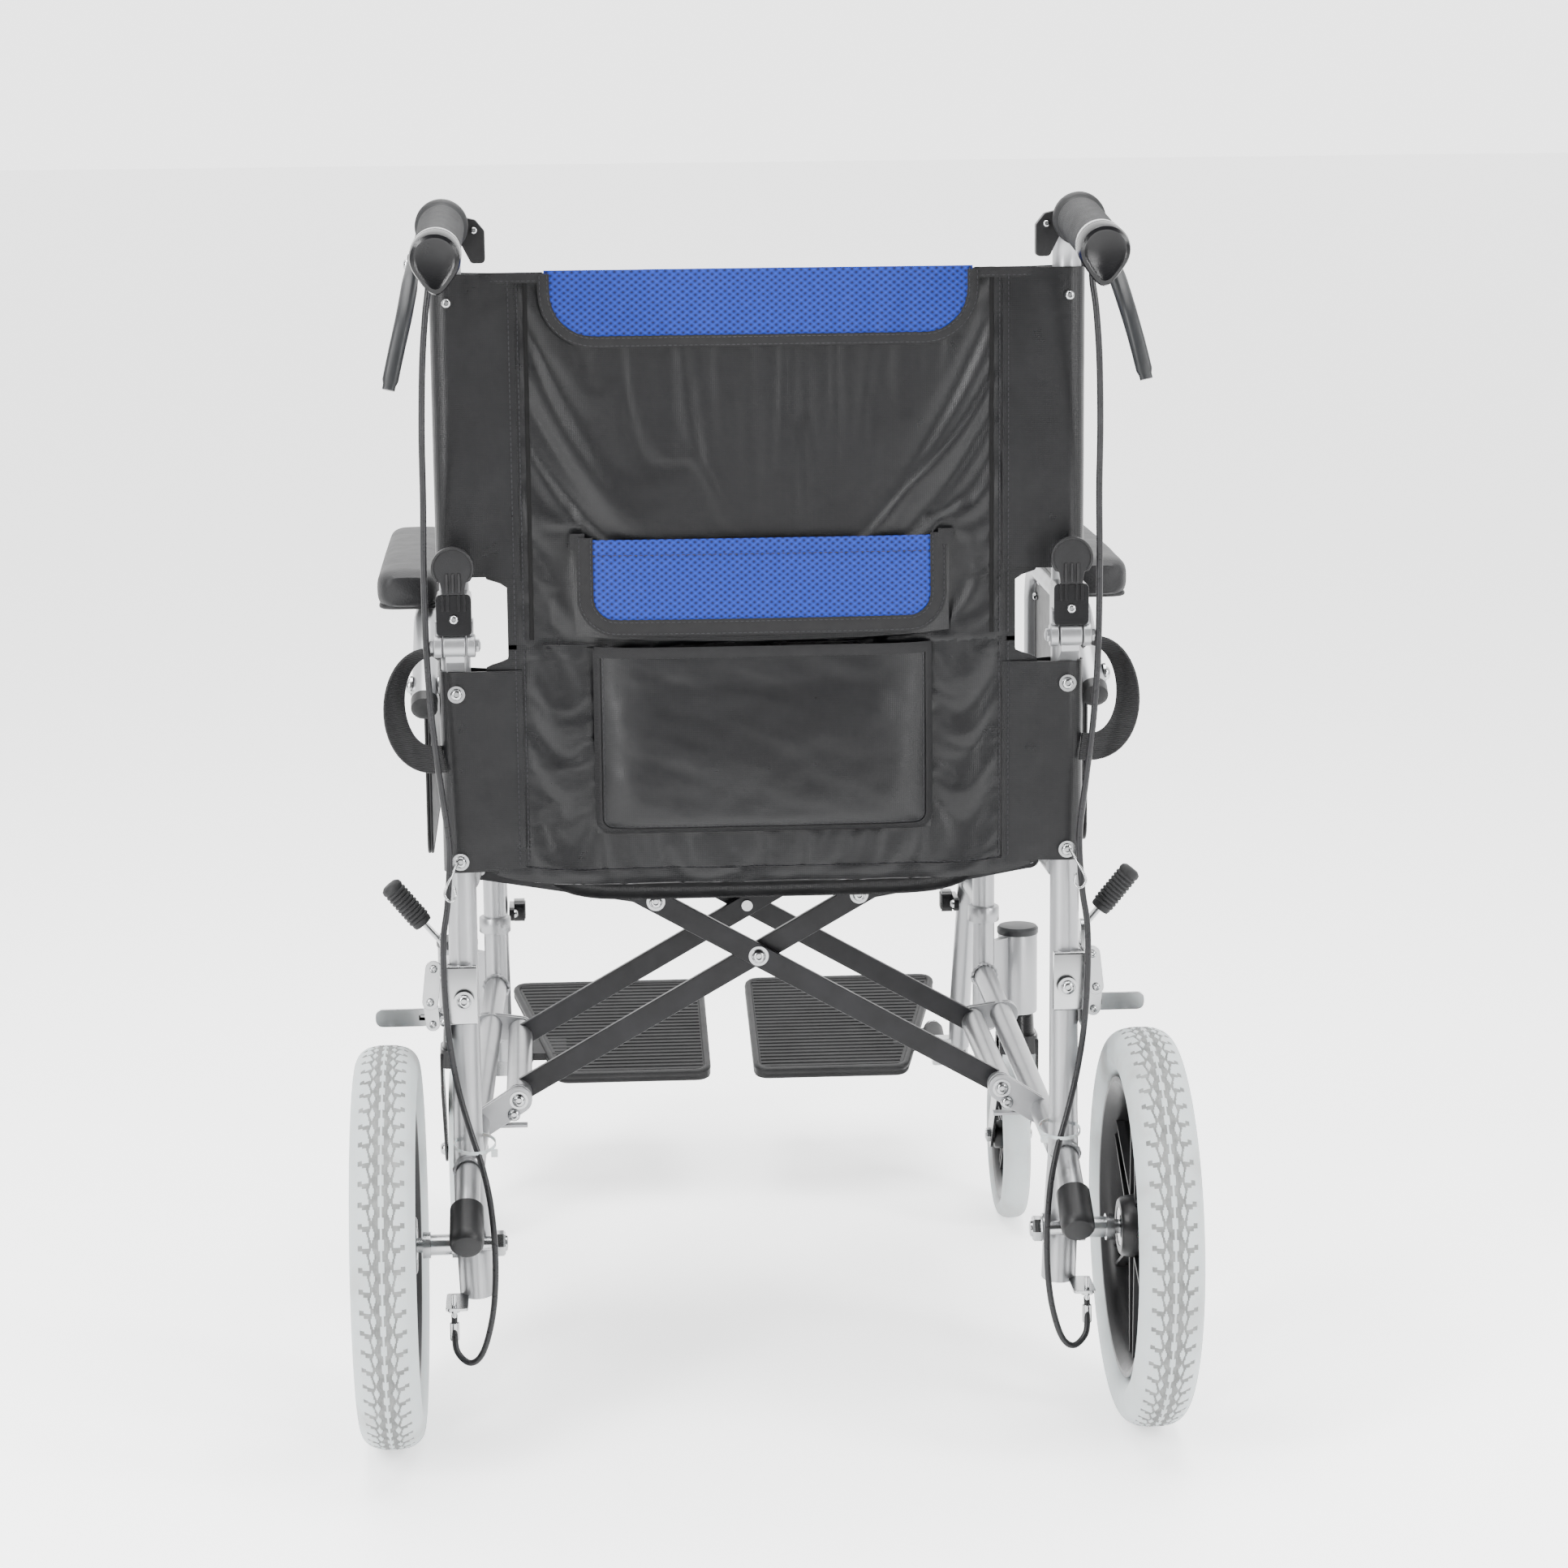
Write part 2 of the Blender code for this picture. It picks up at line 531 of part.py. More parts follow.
def smooth_route(points, spacing):
    """Even points along a Catmull-Rom curve through the route."""
    route = [Vector(p) for p in points]
    ends = [2 * route[0] - route[1]] + route + [2 * route[-1] - route[-2]]
    fine = []
    for a, b, c, d in zip(ends, ends[1:], ends[2:], ends[3:]):
        for k in range(16):
            t = k / 16
            fine.append(0.5 * (2 * b + (c - a) * t + (2 * a - 5 * b + 4 * c - d) * t * t
                               + (3 * b - a - 3 * c + d) * t ** 3))
    fine.append(route[-1])
    total = sum((q - p).length for p, q in zip(fine, fine[1:]))
    count = max(2, round(total / spacing))
    out = [fine[0]]
    travelled = 0.0
    goal = 1
    for p, q in zip(fine, fine[1:]):
        step = (q - p).length
        while goal < count and travelled + step >= goal * total / count:
            out.append(p.lerp(q, (goal * total / count - travelled) / step))
            goal += 1
        travelled += step
    out.append(fine[-1])
    return out


def brake_cable(name, side):
    curve = bpy.data.curves.new(name, "CURVE")
    curve.dimensions = "3D"
    curve.bevel_depth = CABLE_R
    curve.bevel_resolution = 2
    curve.use_fill_caps = True
    points = smooth_route(CABLE_ROUTE, 0.0145)
    spline = curve.splines.new("POLY")
    spline.points.add(len(points) - 1)
    for slot, point in zip(spline.points, points):
        slot.co = (side * point.x, point.y, point.z, 1.0)
    curve.materials.append(MATERIALS["black_plastic"])
    obj = bpy.data.objects.new(name, curve)
    bpy.context.scene.collection.objects.link(obj)


# ---- swing-away hanger and flip-up footplate ----
def flip_frame():
    """Matrix from flat footplate coordinates to the tilted hinge."""
    return Matrix.Translation((FLIP_X, FLIP_Y, FLIP_Z)) @ Matrix.Rotation(HANGER_TILT, 4, "X")


def hanger():
    knee = (HANGER_X, 0.450, 0.451)
    foot = (HANGER_X, 0.6000, 0.1750)
    tube = sweep(rounded_path([(HANGER_X, FRONT_Y + 0.011, 0.451), knee, foot, (HANGER_X, 0.6125, 0.1300)], 0.025, 4),
                 TUBE_R)
    pieces = [tube]
    bores = []
    for low, high in ((0.4430, 0.4590), (0.2960, 0.3100)):
        pieces.append(rod((FRONT_X, FRONT_Y, low), (FRONT_X, FRONT_Y, high), 0.0135, 18))
    bores.append(rod((FRONT_X, FRONT_Y, 0.25), (FRONT_X, FRONT_Y, 0.48), TUBE_R + GAP, 12))
    pieces.append(rod((HANGER_X, FRONT_Y + 0.0115, 0.303), (HANGER_X, 0.531, 0.303), 0.0062, 10))
    pieces.append(block((FLIP_X - 0.006, 0.6050, 0.1130), (HANGER_X + 0.0085, 0.6215, 0.1385), 0.002))
    local = flip_frame()
    start = local @ Vector((0.0, -0.0235, 0.0))
    end = local @ Vector((0.0, 0.0300, 0.0))
    pieces.append(rod(start, end, 0.0050, 12))
    pieces.append(rod(end - (end - start).normalized() * 0.0035, end, 0.0078, 12))
    return join_solids(pieces, bores)


def hanger_latch():
    plate = prism(round_outline([(0.502, 0.2830), (0.541, 0.2790), (0.541, 0.2935), (0.502, 0.2950)], 0.004, 2),
                  "x", 0.1955, 0.2005)
    knob = prism(round_outline([(0.523, 0.2770), (0.544, 0.2770), (0.544, 0.2960), (0.523, 0.2960)], 0.005, 2),
                 "x", 0.1865, 0.1965)
    return join_solids([plate, knob])


def footplate():
    outline = round_outline([(-0.173, -0.0564), (-0.032, -0.0564), (0.013, 0.1334), (-0.173, 0.1334)], 0.012, 4)
    plate = prism(outline, "z", -0.006, 0.006)
    web = block((-0.040, -0.0110, -0.0040), (0.0, 0.0210, 0.0040))
    knuckle = rod((0.0, -0.0140, 0.0), (0.0, 0.0240, 0.0), 0.0095, 16)
    bore = rod((0.0, -0.04, 0.0), (0.0, 0.05, 0.0), 0.0054, 12)
    notch = block((-0.0125, 0.0245, -0.03), (0.03, 0.0340, 0.03))
    return moved(join_solids([plate, web, knuckle], [bore, notch]), flip_frame())


# ---- armrest ----
def arm_frame():
    tube = sweep(rounded_path([
        (ARM_X, 0.0220, 0.5587), (ARM_X, 0.1130, 0.6112), (ARM_X, 0.3870, 0.6112), (ARM_X, 0.3870, 0.4390)],
        0.032, 5), TUBE_R)
    plug = rod((ARM_X, 0.0195, 0.5573), (ARM_X, 0.0235, 0.5596), 0.0103, 14)
    bolt = rod((ARM_X + 0.006, ARM_PIVOT_Y, ARM_PIVOT_Z), (ARM_X + 0.0125, ARM_PIVOT_Y, ARM_PIVOT_Z), 0.0065, 6)
    return join_solids([tube, plug, bolt])


def arm_pad():
    return block((0.2415, 0.098, 0.6215), (0.290, 0.390, 0.654), 0.006)


def arm_side_panel():
    outline = [(0.080, 0.4345), (0.3700, 0.4345), (0.3700, 0.5985), (0.1290, 0.5985), (0.0800, 0.5780)]
    return prism(round_outline(outline, 0.014, 3), "x", 0.2512, 0.2550)


# ---- wheel lock ----
LOCK_LEVER_Y = 0.030
LOCK_LEVER_Z = 0.352
SHOE_Y = 0.036
SHOE_Z = 0.318


def lock_bracket():
    clamp = block((0.2180, -0.0125, 0.3225), (0.2425, POST_Y - POST_R - GAP, 0.3680), 0.001)
    side = prism(round_outline([(-0.0120, 0.3080), (0.0450, 0.3080), (0.0450, 0.3640), (-0.0120, 0.3680)], 0.006, 2),
                 "x", 0.2397, 0.2427)
    pieces = [clamp, side]
    for y, z in ((LOCK_LEVER_Y, LOCK_LEVER_Z), (SHOE_Y, SHOE_Z)):
        pieces.append(rod((0.2410, y, z), (0.2520, y, z), 0.0030, 10))
    pieces.append(rod((POST_X, -0.010, LOCK_Z), (POST_X, -0.0175, LOCK_Z), 0.0050, 6))
    return join_solids(pieces)


def lock_lever():
    """Toggle plate with a bar that leans outwards to the grip."""
    plate = prism(capsule_outline((LOCK_LEVER_Y, LOCK_LEVER_Z), (LOCK_LEVER_Y + 0.001, 0.3760), 0.0080, 5),
                  "x", 0.2432, 0.2464)
    bar = rod((0.2440, LOCK_LEVER_Y + 0.001, 0.3740), (0.2800, LOCK_LEVER_Y + 0.001, 0.4180), 0.0040, 10)
    bore = rod((0.23, LOCK_LEVER_Y, LOCK_LEVER_Z), (0.26, LOCK_LEVER_Y, LOCK_LEVER_Z), 0.0035, 10)
    return join_solids([plate, bar], [bore])


def lock_grip():
    start = Vector((0.2580, LOCK_LEVER_Y + 0.001, 0.3911))
    end = Vector((0.2840, LOCK_LEVER_Y + 0.001, 0.4229))
    grip = rod(start, end, 0.0085, 14)
    bore = rod(start - (end - start) * 0.1, start + (end - start) * 0.92, 0.0045, 10)
    return join_solids([grip], [bore])


def lock_shoe():
    """Arm on the bracket with a cross bar and the plate that presses the tyre."""
    arm = prism(capsule_outline((SHOE_Y, SHOE_Z), (0.0640, 0.3120), 0.0062, 5), "x", 0.2470, 0.2500)
    bar = rod((0.2480, 0.0640, 0.3120), (0.2640, 0.0640, 0.3120), 0.0042, 10)
    plate = prism(round_outline([(0.2570, 0.0560), (0.2970, 0.0560), (0.2970, 0.0720), (0.2570, 0.0720)], 0.006, 3),
                  "z", 0.3100, 0.3130)
    bore = rod((0.23, SHOE_Y, SHOE_Z), (0.27, SHOE_Y, SHOE_Z), 0.0035, 10)
    return join_solids([arm, bar, plate], [bore])


# ---- soft parts: plain closed shapes ----
def sag_slab(half_width, high, low, thickness, steps=8):
    """Outline of a sling that hangs between two sides."""
    top = []
    for k in range(steps + 1):
        t = -1 + 2 * k / steps
        top.append((half_width * t, low + (high - low) * t * t))
    return [(x, z - thickness) for x, z in top] + top[::-1]


def seat_sling():
    return prism(sag_slab(0.1935, 0.4740, 0.4560, 0.006), "y", 0.030, 0.392)


def back_panel(z_low, z_high, sleeve_low, sleeve_high):
    """Panel with a sleeve round each back post."""
    panel = block((-POST_X, -0.0040, z_low), (POST_X, 0.0010, z_high))
    pieces = [panel]
    cuts = []
    for side in (-1, 1):
        x = side * POST_X
        pieces.append(rod((x, POST_Y, sleeve_low), (x, POST_Y, sleeve_high), 0.0128, 20))
        cuts.append(rod((x, POST_Y, z_low - 0.05), (x, POST_Y, z_high + 0.05), POST_R + 0.0009, 20))
    return pieces, cuts


def back_lower_panel():
    pieces, cuts = back_panel(0.4440, 0.6060, 0.4440, 0.5520)
    for side in (-1, 1):
        cuts.append(block(*sorted_box((side * 0.2000, -0.03, 0.5525), (side * 0.2500, 0.03, 0.620))))
        cuts.append(rod((side * POST_X, -0.03, 0.447), (side * POST_X, POST_Y, 0.447), 0.0048, 10))
    return join_solids(pieces, cuts)


def back_upper_panel():
    pieces, cuts = back_panel(0.6105, 0.8840, 0.6900, 0.8560)
    for side in (-1, 1):
        cuts.append(block(*sorted_box((side * 0.2060, -0.03, 0.600), (side * 0.2500, 0.03, 0.6895))))
        cuts.append(block(*sorted_box((side * 0.2120, -0.03, 0.8561), (side * 0.2500, 0.03, 0.90))))
    return join_solids(pieces, cuts)


def sorted_box(a, b):
    low = tuple(min(p, q) for p, q in zip(a, b))
    high = tuple(max(p, q) for p, q in zip(a, b))
    return low, high


def pocket_body():
    outline = [(-0.0240, 0.4650), (-0.0060, 0.4650), (-0.0045, 0.6030), (-0.0150, 0.6030), (-0.0240, 0.5600)]
    return prism(outline, "x", -0.126, 0.126)


def pocket_yoke():
    return prism([(-0.0190, 0.6225), (-0.0045, 0.6225), (-0.0045, 0.6900), (-0.0110, 0.6900)], "x", -0.141, 0.141)


def build():
    place_pair("side_frame", side_frame(), "frame_silver")
    place_pair("tip_cap", tip_cap(), "black_plastic")
    place_pair("webbing_loop", webbing_loop(), "black_fabric")
    place_pair("rear_axle", rear_axle(), "zinc")
    hub = (WHEEL_X, WHEEL_Y, WHEEL_R)
    place_pair("rear_rim", spoked_rim(hub, 0.1150, 0.0190, 0.0240, 0.0200, 0.0064, 6, 0.020, 28), "black_plastic", hub)
    place_pair("rear_tyre", tyre(hub, WHEEL_R, 0.0370, 0.0240, 36, 10), "pale_tyre", hub)
    swivel = (SWIVEL_X, SWIVEL_Y, 0.206)
    axle = (SWIVEL_X, CASTER_AXLE_Y, CASTER_R)
    place_pair("caster_fork", caster_fork(), "black_metal", swivel)
    place_pair("caster_rim", spoked_rim(axle, 0.0570, 0.0095, 0.0130, 0.0135, 0.0043, 5, 0.010, 20),
               "black_plastic", axle)
    place_pair("caster_tyre", tyre(axle, CASTER_R, 0.0175, 0.0122, 28, 8), "pale_tyre", axle)
    place("cross_member_a", cross_member(1, 0.102, 0.292), "black_metal", (PIVOT_X, 0.2, PIVOT_Z))
    place("cross_member_b", cross_member(-1, 0.112, 0.282), "black_metal", (0.0, 0.2, CROSS_Z))
    place_pair("side_link", side_link(), "black_metal", (LINK_X, 0.1245, LINK_Z))
    hinge = (POST_X, BACK_AXIS_Y, BACK_AXIS_Z)
    place_pair("back_post", back_post(), "frame_silver", hinge)
    place_pair("release_lever", release_lever(), "black_plastic", (POST_X, BACK_AXIS_Y, 0.651))
    place_pair("hand_grip", hand_grip(), "black_plastic", hinge)
    place_pair("brake_mount", brake_mount(), "grey_plastic", hinge)
    place_pair("brake_lever", brake_lever(), "grey_plastic", (0.2500, LEVER_Y, LEVER_Z))
    brake_cable("brake_cable_right", 1)
    brake_cable("brake_cable_left", -1)
    front = (FRONT_X, FRONT_Y, 0.303)
    place_pair("hanger", hanger(), "frame_silver", front)
    place_pair("hanger_latch", hanger_latch(), "black_plastic", (0.1990, 0.502, 0.288))
    place_pair("footplate", footplate(), "black_plastic", (FLIP_X, FLIP_Y, FLIP_Z))
    arm = (ARM_X, ARM_PIVOT_Y, ARM_PIVOT_Z)
    place_pair("arm_frame", arm_frame(), "frame_silver", arm)
    place_pair("arm_pad", arm_pad(), "arm_pad", arm)
    place_pair("arm_side_panel", arm_side_panel(), "black_fabric", arm)
    place_pair("lock_bracket", lock_bracket(), "zinc")
    place_pair("lock_lever", lock_lever(), "zinc", (0.2448, LOCK_LEVER_Y, LOCK_LEVER_Z))
    place_pair("lock_grip", lock_grip(), "black_plastic", (0.2448, LOCK_LEVER_Y, LOCK_LEVER_Z))
    place_pair("lock_shoe", lock_shoe(), "zinc", (0.2485, SHOE_Y, SHOE_Z))
    place("seat_sling", seat_sling(), "black_fabric", (-SEAT_X, 0.2, SEAT_Z))
    place("back_lower_panel", back_lower_panel(), "black_fabric")
    place("back_upper_panel", back_upper_panel(), "blue_mesh", (0.0, BACK_AXIS_Y, BACK_AXIS_Z))
    place("pocket_body", pocket_body(), "black_fabric")
    place("pocket_yoke", pocket_yoke(), "black_fabric", (0.0, BACK_AXIS_Y, BACK_AXIS_Z))
    for obj in bpy.context.scene.objects:
        obj.location.y -= MIDDLE_Y


clear_scene()
MATERIALS = make_materials()
build()
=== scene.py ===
"""Looks of the folding transport wheelchair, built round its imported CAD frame."""

import json
import math

import bmesh
import bpy
from mathutils import Matrix, Vector, noise


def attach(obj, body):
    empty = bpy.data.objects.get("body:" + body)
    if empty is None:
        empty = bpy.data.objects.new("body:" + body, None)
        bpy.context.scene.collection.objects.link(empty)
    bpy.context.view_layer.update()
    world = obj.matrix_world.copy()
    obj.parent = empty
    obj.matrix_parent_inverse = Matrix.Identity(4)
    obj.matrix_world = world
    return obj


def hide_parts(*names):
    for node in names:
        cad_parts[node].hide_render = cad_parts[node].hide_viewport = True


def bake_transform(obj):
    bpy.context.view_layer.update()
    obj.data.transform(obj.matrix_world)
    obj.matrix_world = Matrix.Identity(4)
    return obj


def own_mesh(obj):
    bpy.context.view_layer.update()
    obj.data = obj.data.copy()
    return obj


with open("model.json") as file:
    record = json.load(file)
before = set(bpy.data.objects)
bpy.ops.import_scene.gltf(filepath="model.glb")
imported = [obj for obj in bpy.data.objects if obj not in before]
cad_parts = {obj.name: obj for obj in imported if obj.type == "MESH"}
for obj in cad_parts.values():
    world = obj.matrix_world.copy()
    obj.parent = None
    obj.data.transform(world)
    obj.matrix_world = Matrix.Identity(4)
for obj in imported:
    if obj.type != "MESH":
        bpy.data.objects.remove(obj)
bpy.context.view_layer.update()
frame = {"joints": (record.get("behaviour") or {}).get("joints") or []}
JOINTS = {joint["name"]: joint for joint in frame["joints"]}

# ---- places read from the frame ----
BACK_AXIS = Vector(JOINTS["back_right_fold"]["pos_m"])      # half-fold hinge of the right back post
DATUM_Y = BACK_AXIS.y + 0.0205                              # the shapes below count Y from the back posts
POST_X = BACK_AXIS.x
POST_Y = 0.006
POST_R = 0.011
TUBE_R = 0.0095
FRONT = Vector(JOINTS["hanger_right_swing"]["pos_m"]) - Vector((0, DATUM_Y, 0))
WHEEL = Vector(JOINTS["rear_wheel_right_spin"]["pos_m"]) - Vector((0, DATUM_Y, 0))
CASTER = Vector(JOINTS["caster_right_spin"]["pos_m"]) - Vector((0, DATUM_Y, 0))
SWIVEL = Vector(JOINTS["caster_right_swivel"]["pos_m"]) - Vector((0, DATUM_Y, 0))
ARM = Vector(JOINTS["arm_right_flip"]["pos_m"]) - Vector((0, DATUM_Y, 0))
FLIP = Vector(JOINTS["foot_right_flip"]["pos_m"]) - Vector((0, DATUM_Y, 0))
WHEEL_R = WHEEL.z
CASTER_R = CASTER.z
BACK_Z = BACK_AXIS.z
BACK_Y = -0.0205

LOWER_PIVOT = (0.19, 0.235)     # cross on the side frame, x and z
LINK_TOP = (0.216, 0.412)       # side link on the seat rail, x and z
LEVER_PIVOT = (0.03, 0.352)     # wheel lock's lever, y and z
SHOE_PIVOT = (0.036, 0.318)     # wheel lock's shoe, y and z
BRAKE_PIVOT = (-0.0385, 0.8925)  # attendant brake's lever, y and z


# ---- camera, light and floor ----
def make_camera():
    """Stands behind the chair, a little to its left and above it, looking slightly down."""
    yaw, pitch, roll = 0.0587, 0.1922, -0.0095
    ahead = Vector((math.sin(yaw) * math.cos(pitch), math.cos(yaw) * math.cos(pitch), -math.sin(pitch)))
    right = Vector((math.cos(yaw), -math.sin(yaw), 0.0))
    up = right.cross(ahead)
    right_rolled = math.cos(roll) * right + math.sin(roll) * up
    up_rolled = -math.sin(roll) * right + math.cos(roll) * up
    data = bpy.data.cameras.new("camera")
    data.sensor_width = 36.0
    data.lens = 88.24
    data.clip_end = 50.0
    camera = bpy.data.objects.new("camera", data)
    turn = Matrix((right_rolled, up_rolled, -ahead)).transposed().to_4x4()
    camera.matrix_world = Matrix.Translation((-0.151, -2.827 + DATUM_Y, 1.051)) @ turn
    bpy.context.scene.collection.objects.link(camera)
    bpy.context.scene.camera = camera


def area_light(name, place, target, size, power):
    data = bpy.data.lights.new(name, "AREA")
    data.shape = "RECTANGLE"
    data.size, data.size_y = size
    data.energy = power
    lamp = bpy.data.objects.new(name, data)
    lamp.location = place
    lamp.rotation_euler = (Vector(target) - Vector(place)).to_track_quat("-Z", "Y").to_euler()
    bpy.context.scene.collection.objects.link(lamp)


ROOM_LIGHT = 0.14
WALL_LIGHT = 3.2
FLOOR_GLOW = 1.0


def make_studio():
    world = bpy.data.worlds.new("studio")
    world.use_nodes = True
    tree = world.node_tree
    backdrop = tree.nodes["Background"]
    backdrop.inputs["Color"].default_value = (1.0, 1.0, 1.0, 1.0)
    # bright wall in front of the chair, darker room behind it
    split = tree.nodes.new("ShaderNodeSeparateXYZ")
    spread = tree.nodes.new("ShaderNodeMapRange")
    spread.interpolation_type = "SMOOTHSTEP"
    spread.inputs["From Min"].default_value = -0.35
    spread.inputs["From Max"].default_value = 0.45
    spread.inputs["To Min"].default_value = ROOM_LIGHT
    spread.inputs["To Max"].default_value = WALL_LIGHT
    tree.links.new(tree.nodes.new("ShaderNodeTexCoord").outputs["Generated"], split.inputs["Vector"])
    tree.links.new(split.outputs["Y"], spread.inputs["Value"])
    tree.links.new(spread.outputs["Result"], backdrop.inputs["Strength"])
    bpy.context.scene.world = world
    area_light("key_left", (-1.7, -1.8, 2.1), (0.0, -0.2, 0.5), (0.7, 1.3), 95)
    area_light("key_right", (2.1, -1.5, 1.7), (0.0, -0.1, 0.45), (0.6, 1.5), 80)
    area_light("top", (0.0, -0.2, 2.8), (0.0, -0.1, 0.3), (2.0, 2.0), 150)
    area_light("strip_left", (-1.7, -2.2, 1.0), (0.0, 0.0, 0.6), (0.35, 1.3), 55)
    area_light("strip_right", (1.5, -2.4, 0.9), (0.0, 0.0, 0.6), (0.35, 1.3), 38)
    bm = bmesh.new()
    bmesh.ops.create_grid(bm, x_segments=2, y_segments=2, size=30.0)
    mesh = bpy.data.meshes.new("floor")
    bm.to_mesh(mesh)
    bm.free()
    floor = bpy.data.objects.new("floor", mesh)
    floor.location.z = -0.0005
    bpy.context.scene.collection.objects.link(floor)
    mat, shader = new_material("floor_white", (0.93, 0.93, 0.93), 0.42, 0.0)
    shader.inputs["Emission Color"].default_value = (1.0, 1.0, 1.0, 1.0)
    glow = mat.node_tree.nodes.new("ShaderNodeMapRange")
    glow.inputs["From Min"].default_value = -1.9
    glow.inputs["From Max"].default_value = -0.9
    glow.inputs["To Min"].default_value = 0.0
    glow.inputs["To Max"].default_value = FLOOR_GLOW
    part = mat.node_tree.nodes.new("ShaderNodeSeparateXYZ")
    place = mat.node_tree.nodes.new("ShaderNodeTexCoord").outputs["Object"]
    mat.node_tree.links.new(place, part.inputs["Vector"])
    mat.node_tree.links.new(part.outputs["Y"], glow.inputs["Value"])
    mat.node_tree.links.new(glow.outputs["Result"], shader.inputs["Emission Strength"])
    mesh.materials.append(mat)


# ---- materials ----
def new_material(name, colour, rough, metal):
    mat = bpy.data.materials.new(name)
    mat.use_nodes = True
    shader = mat.node_tree.nodes["Principled BSDF"]
    shader.inputs["Base Color"].default_value = (*colour, 1.0)
    shader.inputs["Roughness"].default_value = rough
    shader.inputs["Metallic"].default_value = metal
    if metal == 0.0:
        shader.inputs["Specular IOR Level"].default_value = 0.22
    mat.diffuse_color = (*colour, 1.0)
    return mat, shader


class Nodes:
    """Short names for the shader nodes that the materials share."""

    def __init__(self, mat, shader):
        self.tree = mat.node_tree
        self.shader = shader
        self.place = self.add("ShaderNodeTexCoord").outputs["Object"]

    def add(self, kind, **fields):
        node = self.tree.nodes.new(kind)
        for key, value in fields.items():
            setattr(node, key, value)
        return node

    def link(self, source, target):
        self.tree.links.new(source, target)

    def stretched(self, scale):
        node = self.add("ShaderNodeMapping")
        node.inputs["Scale"].default_value = scale
        self.link(self.place, node.inputs["Vector"])
        return node.outputs["Vector"]

    def noise(self, scale, detail):
        node = self.add("ShaderNodeTexNoise")
        node.inputs["Scale"].default_value = scale
        node.inputs["Detail"].default_value = detail
        self.link(self.place, node.inputs["Vector"])
        return node.outputs["Fac"]

    def cells(self, scale, vector=None, spread=1.0):
        node = self.add("ShaderNodeTexVoronoi")
        node.inputs["Scale"].default_value = scale
        node.inputs["Randomness"].default_value = spread
        self.link(vector or self.place, node.inputs["Vector"])
        return node.outputs["Distance"]

    def bands(self, scale, axis):
        node = self.add("ShaderNodeTexWave", wave_type="BANDS", bands_direction=axis, wave_profile="SIN")
        node.inputs["Scale"].default_value = scale
        self.link(self.place, node.inputs["Vector"])
        return node.outputs["Fac"]

    def math(self, operation, a, b):
        node = self.add("ShaderNodeMath", operation=operation)
        for slot, value in ((0, a), (1, b)):
            if isinstance(value, (int, float)):
                node.inputs[slot].default_value = value
            else:
                self.link(value, node.inputs[slot])
        return node.outputs[0]

    def ramp(self, factor, stops):
        node = self.add("ShaderNodeValToRGB")
        points = node.color_ramp.elements
        while len(points) < len(stops):
            points.new(0.5)
        for point, (where, colour) in zip(points, stops):
            point.position = where
            point.color = (*colour, 1.0)
        self.link(factor, node.inputs["Fac"])
        return node.outputs["Color"]

    def colour(self, factor, stops):
        self.link(self.ramp(factor, stops), self.shader.inputs["Base Color"])

    def rough(self, factor, low, high):
        node = self.add("ShaderNodeMapRange")
        node.inputs["To Min"].default_value = low
        node.inputs["To Max"].default_value = high
        self.link(factor, node.inputs["Value"])
        self.link(node.outputs["Result"], self.shader.inputs["Roughness"])

    def bump(self, height, distance, strength=1.0, under=None):
        node = self.add("ShaderNodeBump")
        node.inputs["Strength"].default_value = strength
        node.inputs["Distance"].default_value = distance
        self.link(height, node.inputs["Height"])
        if under is not None:
            self.link(under, node.inputs["Normal"])
        self.link(node.outputs["Normal"], self.shader.inputs["Normal"])
        return node.outputs["Normal"]


def shades(colour, spread):
    """Three near tones round one colour, for a ramp."""
    dark = tuple(c * (1 - spread) for c in colour)
    light = tuple(min(1.0, c * (1 + spread)) for c in colour)
    return [(0.3, dark), (0.5, colour), (0.7, light)]


def finish(name, tone, spread, tone_noise, rough_noise, low, high, grain, depth, strength, metal=0.0):
    """Plain moulded or painted surface: slow change of tone, uneven gloss, fine grain."""
    mat, shader = new_material(name, tone, (low + high) / 2, metal)
    n = Nodes(mat, shader)
    n.colour(n.noise(*tone_noise), shades(tone, spread))
    n.rough(n.noise(*rough_noise), low, high)
    n.bump(n.noise(*grain) if isinstance(grain, tuple) else n.cells(grain), depth, strength)
    return mat


def black_mould(name, tone, low, high):
    return finish(name, tone, 0.25, (30.0, 5.0), (90.0, 4.0), low, high, 1300.0, 0.0001, 0.45)


def tyre_grey():
    mat, shader = new_material("tyre_grey", (0.62, 0.645, 0.65), 0.6, 0.0)
    n = Nodes(mat, shader)
    n.colour(n.noise(22.0, 6.0),
             [(0.25, (0.29, 0.3, 0.295)), (0.45, (0.355, 0.385, 0.39)), (0.75, (0.385, 0.415, 0.42))])
    n.rough(n.noise(80.0, 4.0), 0.48, 0.7)
    n.bump(n.noise(700.0, 3.0), 0.00015, 0.5)
    shader.inputs["Subsurface Weight"].default_value = 0.05
    return mat


def pad_skin():
    mat, shader = new_material("pad_skin", (0.055, 0.055, 0.058), 0.55, 0.0)
    n = Nodes(mat, shader)
    n.colour(n.noise(25.0, 4.0), shades((0.009, 0.009, 0.0097), 0.18))
    n.rough(n.noise(70.0, 4.0), 0.45, 0.62)
    grain = n.bump(n.cells(700.0), 0.00022, 0.7)
    n.bump(n.noise(60.0, 3.0), 0.0004, 0.4, under=grain)
    return mat


